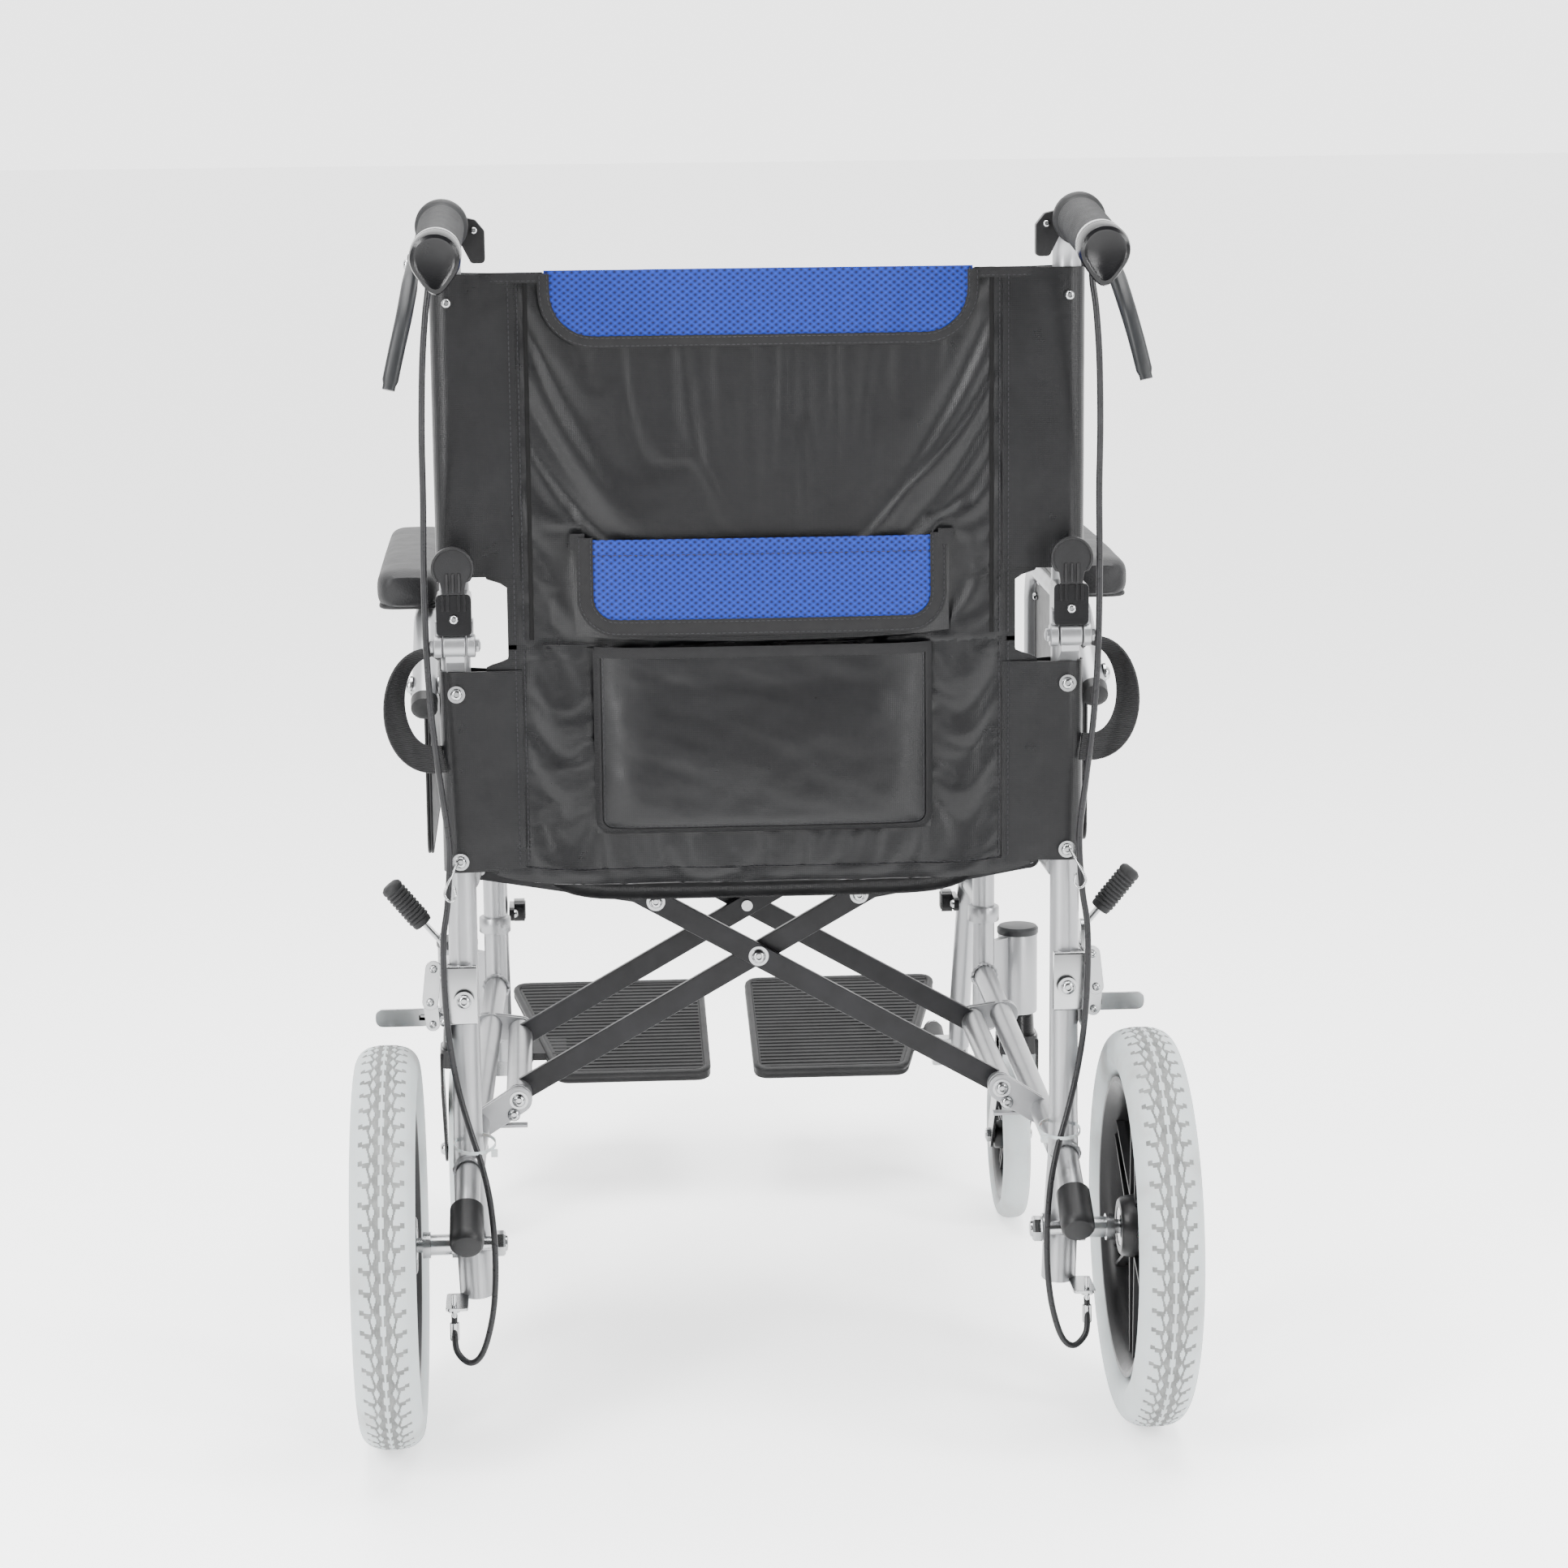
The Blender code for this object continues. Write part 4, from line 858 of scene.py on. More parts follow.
def spoked_rim(centre, rim_r, rim_half, hub_r, hub_half, spokes, spoke_w, sides):
    """Moulded wheel: deep rim, dished spokes with raised edges, hub with bearing seats."""
    x, y, z = centre
    rim = turned([
        (rim_r, -rim_half), (rim_r + 0.0012, -rim_half * 0.6), (rim_r + 0.0012, rim_half * 0.6),
        (rim_r, rim_half),
        (rim_r - 0.004, rim_half), (rim_r - 0.008, rim_half * 0.8), (rim_r - 0.012, rim_half * 0.45),
        (rim_r - 0.012, -rim_half * 0.45), (rim_r - 0.008, -rim_half * 0.8), (rim_r - 0.004, -rim_half),
    ], centre, sides)
    hub = joined(*(spun((x, y, z), (x + side * hub_half, y, z), [
        (0.0, hub_r * 1.05), (hub_half * 0.55, hub_r), (hub_half * 0.9, hub_r * 0.94),
        (hub_half, hub_r * 0.86),
        (hub_half, hub_r * 0.62), (hub_half * 0.9, hub_r * 0.6), (hub_half * 0.9, hub_r * 0.3)], 36)
        for side in (-1, 1)))
    arms = []
    inner, outer = hub_r * 0.7, rim_r - 0.01
    for k in range(spokes):
        turn = about(centre, 2 * math.pi * k / spokes, "X")
        core = plate(rounded([(y - spoke_w * 0.62, z + inner), (y + spoke_w * 0.62, z + inner),
                              (y + spoke_w * 0.42, z + outer), (y - spoke_w * 0.42, z + outer)], 0.002),
                     "x", x - 0.22 * rim_half, x + 0.22 * rim_half)
        arms.append(moved(core, turn))
        for side in (-1, 1):
            low, high = side * spoke_w * 0.62, side * spoke_w * 0.42
            edge = plate([(y + low - side * 0.003, z + inner), (y + low, z + inner),
                          (y + high, z + outer), (y + high - side * 0.003, z + outer)],
                         "x", x - 0.52 * rim_half, x + 0.52 * rim_half)
            arms.append(moved(edge, turn))
    return joined(rim, hub, *arms)


def rear_axle():
    x_plate = 0.211
    return joined(
        rod((0.1995, WHEEL.y, WHEEL.z), (0.312, WHEEL.y, WHEEL.z), 0.0056),
        hex_nut((x_plate - 0.0022, WHEEL.y, WHEEL.z), (x_plate - 0.01, WHEEL.y, WHEEL.z), 0.01),
        spun((x_plate, WHEEL.y, WHEEL.z), (x_plate - 0.01, WHEEL.y, WHEEL.z),
             [(0, 0.0118), (0.002, 0.0118)]),
        spun((0.2375, WHEEL.y, WHEEL.z), (0.27, WHEEL.y, WHEEL.z), [
            (0, 0.0105), (0.004, 0.0105), (0.0042, 0.008), (0.02, 0.008), (0.0202, 0.0102),
            (0.0262, 0.0102)], 36),
    )


def paint_groove_shade(tyre, outer, depth):
    """Faces sunk below the tread's smooth crown take the darker groove material: painted shade in the
    grooves.
    """
    tyre.data.materials.append(MATS["groove"])
    side = 1 if tyre.name.endswith("right") else -1
    crown = {}
    points = [(abs(v.co.x - side * WHEEL.x), math.hypot(v.co.y - WHEEL.y - DATUM_Y, v.co.z - WHEEL.z))
              for v in tyre.data.vertices]
    for across, radius in points:
        key = round(across, 4)
        crown[key] = max(crown.get(key, 0.0), radius)
    for face in tyre.data.polygons:
        sunk = [crown[round(points[i][0], 4)] - points[i][1] for i in face.vertices]
        if sum(sunk) / len(sunk) > depth * 0.6 and points[face.vertices[0]][1] > outer - 0.015:
            face.material_index = 1


def build_wheels():
    outer_h, outer_w = 0.037, 0.024
    count = 60
    tread_shape = tread(count, 0.0011, outer_w, WHEEL_R)
    form = dense_tyre(WHEEL_R - 0.0001, outer_h, outer_w, WHEEL, count * 8, 3, tread_shape)
    for tyre in pair("rear_tyre_skin", form, "tyre", "rear_wheel", ("rear_tyre",), sharp=50):
        paint_groove_shade(tyre, WHEEL_R, 0.00065)
    rim = spoked_rim(WHEEL, 0.115, 0.019, 0.024, 0.02, 6, 0.022, 96)
    pair("rear_rim_moulding", rim, "rim", "rear_wheel", ("rear_rim",), bevel=0.0007)
    hub_cap = spun((WHEEL.x + 0.02, WHEEL.y, WHEEL.z), (WHEEL.x + 0.03, WHEEL.y, WHEEL.z), [
        (-0.004, 0.017), (0.0, 0.0195), (0.0035, 0.019), (0.006, 0.015), (0.0068, 0.008)], 40)
    pair("rear_hub_cap", hub_cap, "gloss", "rear_wheel")
    bearing = spun((WHEEL.x - 0.0185, WHEEL.y, WHEEL.z), (WHEEL.x - 0.03, WHEEL.y, WHEEL.z), [
        (0.0, 0.015), (0.0008, 0.0148), (0.0012, 0.0135), (0.0006, 0.0125), (0.0014, 0.0105)], 40)
    pair("rear_bearing", bearing, "zinc", "rear_wheel")
    pair("rear_axle_set", rear_axle(), "zinc", "side", ("rear_axle",))

    form = dense_tyre(CASTER_R, 0.0175, 0.0122, CASTER, 112, 1, None)
    pair("caster_tyre_skin", form, "tyre", "caster_wheel", ("caster_tyre",), sharp=60)
    rim = spoked_rim(CASTER, 0.0572, 0.0095, 0.013, 0.0132, 5, 0.011, 72)
    pair("caster_rim_moulding", rim, "rim", "caster_wheel", ("caster_rim",), bevel=0.0005)
    pair("caster_fork_casting", caster_fork(), "gloss", "caster_fork", ("caster_fork",),
         bevel=0.0006)
    bolts = joined(
        rod((CASTER.x - 0.0185, CASTER.y, CASTER.z), (CASTER.x + 0.0185, CASTER.y, CASTER.z), 0.0038, 20),
        hex_nut((CASTER.x - 0.0168, CASTER.y, CASTER.z), (CASTER.x - 0.0205, CASTER.y, CASTER.z), 0.0065),
        bolt((CASTER.x + 0.017, CASTER.y, CASTER.z), (-1, 0, 0), 0.0058))
    pair("caster_axle_bolt", bolts, "zinc", "caster_fork")


def caster_fork():
    crown = plate(oblong((SWIVEL.x - 0.0172, SWIVEL.y - 0.017), (SWIVEL.x + 0.0172, SWIVEL.y + 0.021), 0.01),
                  "z", 0.1705, 0.187)
    collar = spun((SWIVEL.x, SWIVEL.y, 0.184), (SWIVEL.x, SWIVEL.y, 0.21), [
        (0, 0.0165), (0.006, 0.0148), (0.0185, 0.0142), (0.021, 0.0135)], 36)
    outline = [(SWIVEL.y - 0.015, 0.1835), (SWIVEL.y - 0.013, 0.148)]
    for k in range(17):
        angle = math.radians(200 + 190 * k / 16)
        outline.append((CASTER.y + 0.0115 * math.cos(angle), CASTER.z + 0.0115 * math.sin(angle)))
    outline += [(SWIVEL.y + 0.03, 0.15), (SWIVEL.y + 0.0205, 0.1835)]
    legs = [plate(outline, "x", SWIVEL.x + side * 0.0159 - 0.0013, SWIVEL.x + side * 0.0159 + 0.0013)
            for side in (-1, 1)]
    return joined(crown, collar, *legs)


# ---- folding cross ----
PIVOT = Vector((LOWER_PIVOT[0], 0.0, LOWER_PIVOT[1]))
SEAT_TUBE = Vector((0.205, 0.0, 0.4595))
CROSS_Z = 0.343
CROSS_SLOPE = (CROSS_Z - PIVOT.z) / PIVOT.x


def cross_bars(side, rear, front):
    """Two black flat bars of the cross, one at its rear and one at its front."""
    low, high = (side * PIVOT.x, PIVOT.z), (-side * SEAT_TUBE.x, SEAT_TUBE.z)
    shapes = []
    for y in (rear, front):
        shapes.append(plate(capsule(low, high, 0.0088), "y", y + 0.0002, y + 0.0058))
    return joined(*shapes)


def cross_tubes(side):
    low, high = (side * PIVOT.x, PIVOT.z), (-side * SEAT_TUBE.x, SEAT_TUBE.z)
    plug = [(-0.006, 0.0104), (0.001, 0.0104), (0.0024, 0.0085)]
    seat = joined(
        rod((high[0], 0.03, high[1]), (high[0], 0.388, high[1]), 0.0102),
        *(spun((high[0], end, high[1]), (high[0], beyond, high[1]), plug)
          for end, beyond in ((0.0305, 0.0), (0.3875, 0.5))))
    sleeve = rod((low[0], 0.0988, low[1]), (low[0], 0.3012, low[1]), 0.01)
    return seat, sleeve


def cross_bolts(side, rear, front):
    link_x, link_z = -side * 0.08, CROSS_Z + 0.08 * CROSS_SLOPE
    shapes = [bolt((link_x, rear, link_z), (0, 1, 0), 0.0052),
              spun((link_x, rear, link_z), (link_x, 0.3, link_z), [(0, 0.0042), (0.0095, 0.0042)])]
    if side > 0:
        shapes.append(bolt((0.0, rear, CROSS_Z), (0, 1, 0), 0.0056))
        shapes.append(bolt((0.0, front + 0.006, CROSS_Z), (0, -1, 0), 0.0056))
        shapes.append(rod((0.0, rear, CROSS_Z), (0.0, rear + 0.017, CROSS_Z), 0.0046, 20))
        shapes.append(rod((0.0, front + 0.005, CROSS_Z), (0.0, front - 0.012, CROSS_Z), 0.0046, 20))
    return joined(*shapes)


def build_cross():
    for name, side, rear, front in (("a", 1, 0.102, 0.292), ("b", -1, 0.112, 0.282)):
        body = f"cross_{name}"
        node = f"cross_member_{name}"
        piece(f"cross_bars_{name}", cross_bars(side, rear, front), "powder", body, (node,),
              bevel=0.0007)
        seat, sleeve = cross_tubes(side)
        piece(f"seat_tube_{name}", seat, "powder", body)
        piece(f"pivot_sleeve_{name}", sleeve, "silver", body)
        piece(f"cross_bolts_{name}", cross_bolts(side, rear, front), "zinc", body)
    start, end = Vector(LINK_TOP), Vector((0.08, CROSS_Z + 0.08 * CROSS_SLOPE))
    link = plate(capsule(start, end, 0.0075), "y", 0.1227, 0.1263)
    pair("side_link_bar", link, "powder", "link", ("side_link",), bevel=0.0005)
    pair("side_link_pin", bolt((end.x, 0.1263, end.y), (0, -1, 0), 0.005), "zinc", "link")


# ---- folding back: posts, hinges, grips, brakes ----
def grip_point(y):
    return Vector((POST_X + 0.014 * (POST_Y - y), y, 0.922 + (y + 0.038) * 0.133))


def grip_axis():
    return (grip_point(-0.2) - grip_point(0.0)).normalized()


def back_post():
    top = bent([(POST_X, POST_Y, BACK_Z + 0.001), grip_point(POST_Y), grip_point(-0.167)], 0.036, 12)
    return tube(top, POST_R, 36)


def locking_block():
    """Black moulded block with grooved cheeks that holds the release pin."""
    body = plate(oblong((0.215, 0.6205), (0.241, 0.6515), 0.004), "y",
                 BACK_Y - 0.0062, POST_Y - 0.007)
    ribs = [box((x - 0.0011, BACK_Y - 0.0074, 0.639), (x + 0.0011, BACK_Y - 0.005, 0.652))
            for x in (0.22, 0.224, 0.232, 0.236)]
    return joined(body, *ribs)


def hinge_ends():
    shapes = []
    for low, high, out in ((0.2125, 0.219, -1), (0.237, 0.2435, 1)):
        shapes.append(spun((low, BACK_Y, BACK_Z), (high, BACK_Y, BACK_Z), [
            (0.0, 0.0076), (0.0006, 0.0086), (0.0058, 0.0086), (0.0064, 0.0076)], 32))
        shapes.append(plate(rounded([(BACK_Y - 0.003, BACK_Z), (BACK_Y + 0.011, BACK_Z + 0.006),
                                     (BACK_Y + 0.011, 0.632), (BACK_Y - 0.003, 0.632)], 0.003),
                            "x", low + 0.0014, high - 0.0014))
        face = low if out < 0 else high
        shapes.append(hex_nut((face, BACK_Y, BACK_Z), (face + out * 0.003, BACK_Y, BACK_Z), 0.0052))
    return joined(*shapes)


def paddle():
    """Rounded release paddle with a raised rim and three grooves down its neck."""
    y0, y1 = BACK_Y - 0.008, BACK_Y - 0.004
    outline = [(0.22, 0.6515), (0.236, 0.6515), (0.2375, 0.6605)]
    for k in range(25):
        angle = math.radians(-38 + 256 * k / 24)
        outline.append((POST_X + 0.0158 * math.cos(angle), 0.671 + 0.0158 * math.sin(angle)))
    outline.append((0.2185, 0.6605))
    face = plate(outline, "y", y0, y1)
    rim = []
    for k in range(29):
        angle = math.radians(-38 + 256 * k / 28)
        rim.append((POST_X + 0.0148 * math.cos(angle), y0 - 0.0002, 0.671 + 0.0148 * math.sin(angle)))
    raised = tube(rim, 0.001, 10)
    grooves = [tube([(x, y0 + 0.0001, 0.653), (x, y0 - 0.0006, 0.66), (x, y0 + 0.0001, 0.6672)], 0.0012, 10)
               for x in (POST_X - 0.0045, POST_X, POST_X + 0.0045)]
    neck = box((0.2215, BACK_Y - 0.0042, 0.651), (0.2345, BACK_Y + 0.003, 0.664))
    return joined(face, raised, neck, *grooves)


def grip_parts():
    """Rubber sleeve with fine ribs, bright ring, teardrop end cap."""
    start = grip_point(-0.046)
    end = grip_point(-0.1755)
    length = (end - start).length
    profile = [(0.0, 0.0125), (0.0008, 0.0184), (0.002, 0.019), (0.0085, 0.019), (0.01, 0.0176),
               (0.011, 0.0163)]
    ribs = 30
    for k in range(ribs):
        at = 0.014 + (length - 0.04) * k / ribs
        pitch = (length - 0.04) / ribs
        profile += [(at, 0.016), (at + 0.25 * pitch, 0.0165), (at + 0.65 * pitch, 0.0165),
                    (at + 0.9 * pitch, 0.016)]
    profile += [(length - 0.026, 0.0162), (length - 0.024, 0.015)]
    sleeve = spun(start, end, profile, 44)
    ring = spun(start, end, [(length - 0.0255, 0.015), (length - 0.025, 0.0176), (length - 0.0185, 0.018),
                             (length - 0.018, 0.016)], 44)
    cap_rings = []
    axis = (end - start).normalized()
    side = Vector((1, 0, 0))
    side = (side - axis * side.dot(axis)).normalized()
    down = axis.cross(side)
    if down.z > 0:
        down = -down
    for distance, scale in ((-0.0185, 0.9), (-0.018, 0.99), (-0.004, 1.0), (-0.0012, 0.95), (0.0, 0.82),
                            (-0.0012, 0.7)):
        ring_points = []
        for c, s in circle(48):
            drop = 1.0 + (0.42 * s ** 5 if s > 0 else 0.0)
            ring_points.append(end + axis * distance + scale * 0.018 * (c * side + s * drop * down))
        cap_rings.append(ring_points)
    return sleeve, ring, bridged(cap_rings)


def brake_clamp():
    axis = grip_axis()
    at = grip_point(-0.0372)
    ring = spun(at, at + axis, [(0.0, 0.012), (0.0004, 0.0158), (0.0075, 0.0158), (0.0079, 0.012)], 40)
    carrier = plate(oblong((-0.0425, 0.885), (-0.034, 0.909), 0.003),
                    "x", 0.2325, 0.2462)
    ear = plate(rounded([(0.1985, 0.893), (0.2085, 0.893), (0.2175, 0.911), (0.2175, 0.927), (0.205, 0.924),
                         (0.1985, 0.916)],
                        0.0035), "y", -0.044, -0.035)
    return joined(ring, carrier, ear)


def brake_blade():
    """Curved lever: wide root, tapering blade, rounded tip."""
    route = smooth([(0.25, -0.0385, 0.893), (0.2502, -0.062, 0.889), (0.2515, -0.09, 0.879),
                    (0.255, -0.113, 0.86), (0.2605, -0.124, 0.837), (0.2665, -0.13, 0.811)], 8)
    count = len(route)
    rings = []
    previous = None
    for i, (here, (tangent, _, _)) in enumerate(zip(route, frames_along(route))):
        t = i / (count - 1)
        side = Vector((1, 0.12, 0.0))
        side = (side - tangent * side.dot(tangent)).normalized()
        thick = tangent.cross(side)
        if previous is not None and thick.dot(previous) < 0:
            thick = -thick
        previous = thick
        wide = 0.0032 + 0.0024 * min(1.0, 2.5 * t)
        deep = 0.0078 - 0.0036 * t
        if t > 0.95:
            wide *= 0.8
            deep *= 0.8
        ring = []
        for c, s in circle(24):
            ring.append(here + side * wide * soft(c, 0.7) + thick * deep * soft(s, 0.7))
        rings.append(ring)
    boss = spun((0.2466, *BRAKE_PIVOT), (0.26, *BRAKE_PIVOT), [
        (0, 0.0068), (0.0006, 0.0076), (0.0068, 0.0076), (0.0074, 0.0068)], 32)
    return joined(bridged(rings), boss)


CABLE_ROUTE = (
    (0.2397, -0.042, 0.8848), (0.24, -0.043, 0.874), (0.2425, -0.045, 0.855), (0.2455, -0.042, 0.82),
    (0.2475, -0.035, 0.77), (0.248, -0.028, 0.72), (0.249, -0.025, 0.675), (0.249, -0.0245, 0.63),
    (0.248, -0.024, 0.59), (0.245, -0.023, 0.545), (0.24, -0.021, 0.5), (0.236, -0.019, 0.46),
    (0.238, -0.02, 0.42), (0.242, -0.022, 0.39), (0.242, -0.024, 0.35), (0.239, -0.025, 0.31),
    (0.233, -0.027, 0.274), (0.225, -0.033, 0.245), (0.217, -0.04, 0.22), (0.211, -0.046, 0.19),
    (0.2085, -0.05, 0.15), (0.211, -0.052, 0.11), (0.219, -0.052, 0.079), (0.229, -0.05, 0.069),
    (0.239, -0.046, 0.077), (0.2407, -0.042, 0.092), (0.2407, -0.039, 0.104),
)
CABLE_R = 0.0024


def build_cables():
    route = smooth(CABLE_ROUTE, 7)
    for name, sign in (("right", 1), ("left", -1)):
        path = [Vector((sign * p.x, p.y, p.z)) for p in route]
        cable = piece(f"brake_cable_housing_{name}", tube(path, CABLE_R, 14), "cable", f"side_{name}",
                      (f"brake_cable_{name}",))
        bend_cable(cable)


def bend_cable(cable):
    """Takes the housing off its body and bakes its place into the mesh, so it stays where it is drawn."""
    cable.parent = None
    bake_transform(cable)


def cable_fittings():
    """Adjuster, ferrule and bracket at the hub end."""
    return joined(
        spun((0.2407, -0.041, 0.084), (0.2407, -0.039, 0.118), [
            (0.0, 0.003), (0.001, 0.0036), (0.014, 0.0036), (0.0142, 0.002), (0.022, 0.002),
            (0.0222, 0.0046),
            (0.0262, 0.0046), (0.0264, 0.002), (0.036, 0.002)], 24),
        plate(oblong((0.23, -0.046), (0.247, -0.009), 0.003), "z", 0.1085, 0.1108),
    )


def guide_hooks():
    """Wire hook that holds the housing against the post."""
    lower = smooth([(0.23, -0.01, 0.447), (0.233, -0.017, 0.442), (0.238, -0.024, 0.433),
                    (0.24, -0.026, 0.426),
                    (0.236, -0.0265, 0.421), (0.232, -0.024, 0.424), (0.233, -0.02, 0.431)], 6)
    return tube(lower, 0.001, 10)


def cable_tie():
    path = []
    for k in range(37):
        angle = 2 * math.pi * k / 36
        path.append((0.2225 + 0.0155 * math.cos(angle), -0.013 + 0.027 * math.sin(angle), 0.23))
    head = box((0.205, -0.042, 0.2275), (0.21, -0.037, 0.2325))
    return joined(band(path, (0, 0, 0.0012), 0.0009), head)


def build_back():
    pair("back_tube", back_post(), "silver", "back", ("back_post",))
    pair("locking_block", locking_block(), "gloss", "back", bevel=0.0006)
    pair("hinge_ends", hinge_ends(), "silver", "back", bevel=0.0004)
    screws = joined(bolt((POST_X, BACK_Y - 0.0064, 0.633), (0, 1, 0), 0.0036, False),
                    bolt((POST_X, POST_Y - POST_R - 0.0032, 0.8625), (0, 1, 0), 0.0036, False))
    pair("back_screws", screws, "zinc", "back")
    pair("release_paddle", paddle(), "mould", "release", ("release_lever",), bevel=0.0005)
    sleeve, ring, cap = grip_parts()
    pair("grip_sleeve", sleeve, "grip", "back", ("hand_grip",), sharp=60)
    pair("grip_ring", ring, "zinc", "back")
    pair("grip_cap", cap, "gloss", "back")
    pair("brake_clamp", brake_clamp(), "mould", "back", ("brake_mount",), bevel=0.0006)
    pair("brake_blade", brake_blade(), "lever", "brake", ("brake_lever",), sharp=50)
    pin = joined(bolt((0.2541, *BRAKE_PIVOT), (-1, 0, 0), 0.004, False),
                 bolt((0.206, -0.0446, 0.9165), (0, 1, 0), 0.0026, False))
    pair("brake_screws", pin, "zinc", "back")
    build_cables()
    pair("cable_fittings", cable_fittings(), "zinc", "side", bevel=0.0003)
    pair("guide_hook", guide_hooks(), "zinc", "side")
    pair("cable_tie", cable_tie(), "tyre", "side")
    pair("webbing_strap", webbing_handle(), "webbing", "side", ("webbing_loop",), bevel=0.0004)


# ---- hangers, latches, footplates ----
TILT = math.radians(13.0)
FLIP_FRAME = Matrix.Translation((FLIP.x, FLIP.y, FLIP.z)) @ Matrix.Rotation(TILT, 4, "X")


def hanger():
    x, y = FRONT.x, FRONT.y
    route = bent([(x, y + 0.011, 0.451), (x, 0.45, 0.451), (x, 0.6, 0.175), (x, 0.6125, 0.13)], 0.025, 10)
    leg = tube(route, TUBE_R)
    strut = rod((x, y + 0.0115, 0.303), (x, 0.531, 0.303), 0.0062, 24)
    collars = []
    for low, high in ((0.443, 0.459), (0.296, 0.31)):
        collars.append(spun((x, y, low), (x, y, high), [
            (0.0, 0.0104), (0.0003, 0.0128), (0.0012, 0.0135), (high - low - 0.0012, 0.0135),
            (high - low - 0.0003, 0.0128),
            (high - low, 0.0104)], 36))
    return joined(leg, strut, *collars)


def hanger_welds():
    x, y = FRONT.x, FRONT.y
    beads = []
    for centre, normal, radius in (((x, y + 0.0145, 0.451), (0, 1, 0), 0.0098),
                                   ((x, y + 0.0145, 0.303), (0, 1, 0), 0.0066),
                                   ((x, 0.523, 0.303), (0, 1, 0), 0.0072)):
        axis = Vector(normal)
        u = Vector((1, 0, 0))
        v = axis.cross(u)
        path = []
        for k in range(33):
            angle = 2 * math.pi * k / 32
            path.append(Vector(centre) + radius * (math.cos(angle) * u + math.sin(angle) * v))
        beads.append(tube(path, 0.0013, 8))
    return joined(*beads)


def hanger_foot():
    """Cast block at the foot of the hanger with the footplate's hinge pin."""
    x = FRONT.x
    block = plate(oblong((FLIP.x - 0.0058, 0.6052), (x + 0.0083, 0.6213), 0.004), "z", 0.1132, 0.1383)
    pin = spun((0, -0.0235, 0), (0, 0.1, 0), [(0.0, 0.005), (0.05, 0.005), (0.0505, 0.0068), (0.0515, 0.0077),
                                            (0.053, 0.0077), (0.0536, 0.0066)], 30)
    return joined(block, moved(pin, FLIP_FRAME))


def hanger_latch():
    arm = plate(rounded([(0.502, 0.283), (0.541, 0.279), (0.541, 0.2935), (0.502, 0.295)], 0.0045),
                "x", 0.1957, 0.2003)
    knob = plate(oblong((0.523, 0.2772), (0.544, 0.2958), 0.006), "x", 0.1867, 0.1963)
    ribs = [plate(oblong((y, 0.2795), (y + 0.0016, 0.2935), 0.0006), "x", 0.1859, 0.188)
            for y in (0.5265, 0.5305, 0.5345, 0.5385)]
    return joined(arm, knob, *ribs)


def foot_outline(inset=0.0):
    return rounded([(-0.173 + inset, -0.0564 + inset), (-0.032 - 0.3 * inset, -0.0564 + inset),
                    (0.013 - inset, 0.1334 - inset),
                    (-0.173 + inset, 0.1334 - inset)], 0.012, 8)


def footplate():
    """Moulded plate: raised rim, recessed field with fine anti-slip ribs across."""
    shapes = [plate(foot_outline(0.0014), "z", -0.0044, 0.0034)]
    shapes.append(tube(closed((x, y, 0.0022) for x, y in foot_outline(0.004)), 0.0034, 12))
    shapes.append(tube(closed((x, y, -0.003) for x, y in foot_outline(0.0034)), 0.0026, 10))
    count = 27
    for k in range(count):
        y = -0.047 + 0.171 * k / (count - 1)
        right = -0.032 + (0.045) * (y + 0.0564) / 0.1898 - 0.0085
        shapes.append(tube([(-0.165, y, 0.0034), (right, y, 0.0034)], 0.00125, 8))
    for x in (-0.14, -0.087, -0.036):
        shapes.append(box((x - 0.0022, -0.048, -0.0058), (x + 0.0022, 0.126, -0.0042)))
    knuckle = spun((0, -0.014, 0), (0, 0.1, 0), [
        (0.0, 0.0052), (0.0, 0.0086), (0.001, 0.0095), (0.037, 0.0095), (0.038, 0.0086), (0.038, 0.0052)], 32)
    web = box((-0.04, -0.011, -0.0038), (0.0, 0.021, 0.0038))
    return moved(joined(knuckle, web, *shapes), FLIP_FRAME)


def build_front():
    pair("hanger_tube", hanger(), "silver", "hanger", ("hanger",))
    pair("hanger_welds", hanger_welds(), "silver", "hanger", sharp=60)
    pair("hanger_foot", hanger_foot(), "zinc", "hanger", bevel=0.0005)
    pair("latch_lever", hanger_latch(), "gloss", "latch", ("hanger_latch",), bevel=0.0006)
    pair("latch_rivet", bolt((0.1955, 0.507, 0.2888), (1, 0, 0), 0.0036, False), "zinc", "latch")
    pair("footplate_moulding", footplate(), "foot", "foot", ("footplate",), bevel=0.0004)
    screw = moved(bolt((0, 0.0305, 0), (0, -1, 0), 0.0046, False), FLIP_FRAME)
    pair("footplate_screw", screw, "zinc", "hanger")


# ---- armrests ----
ARM_X = ARM.x
ARM_RAIL_Z = 0.6112


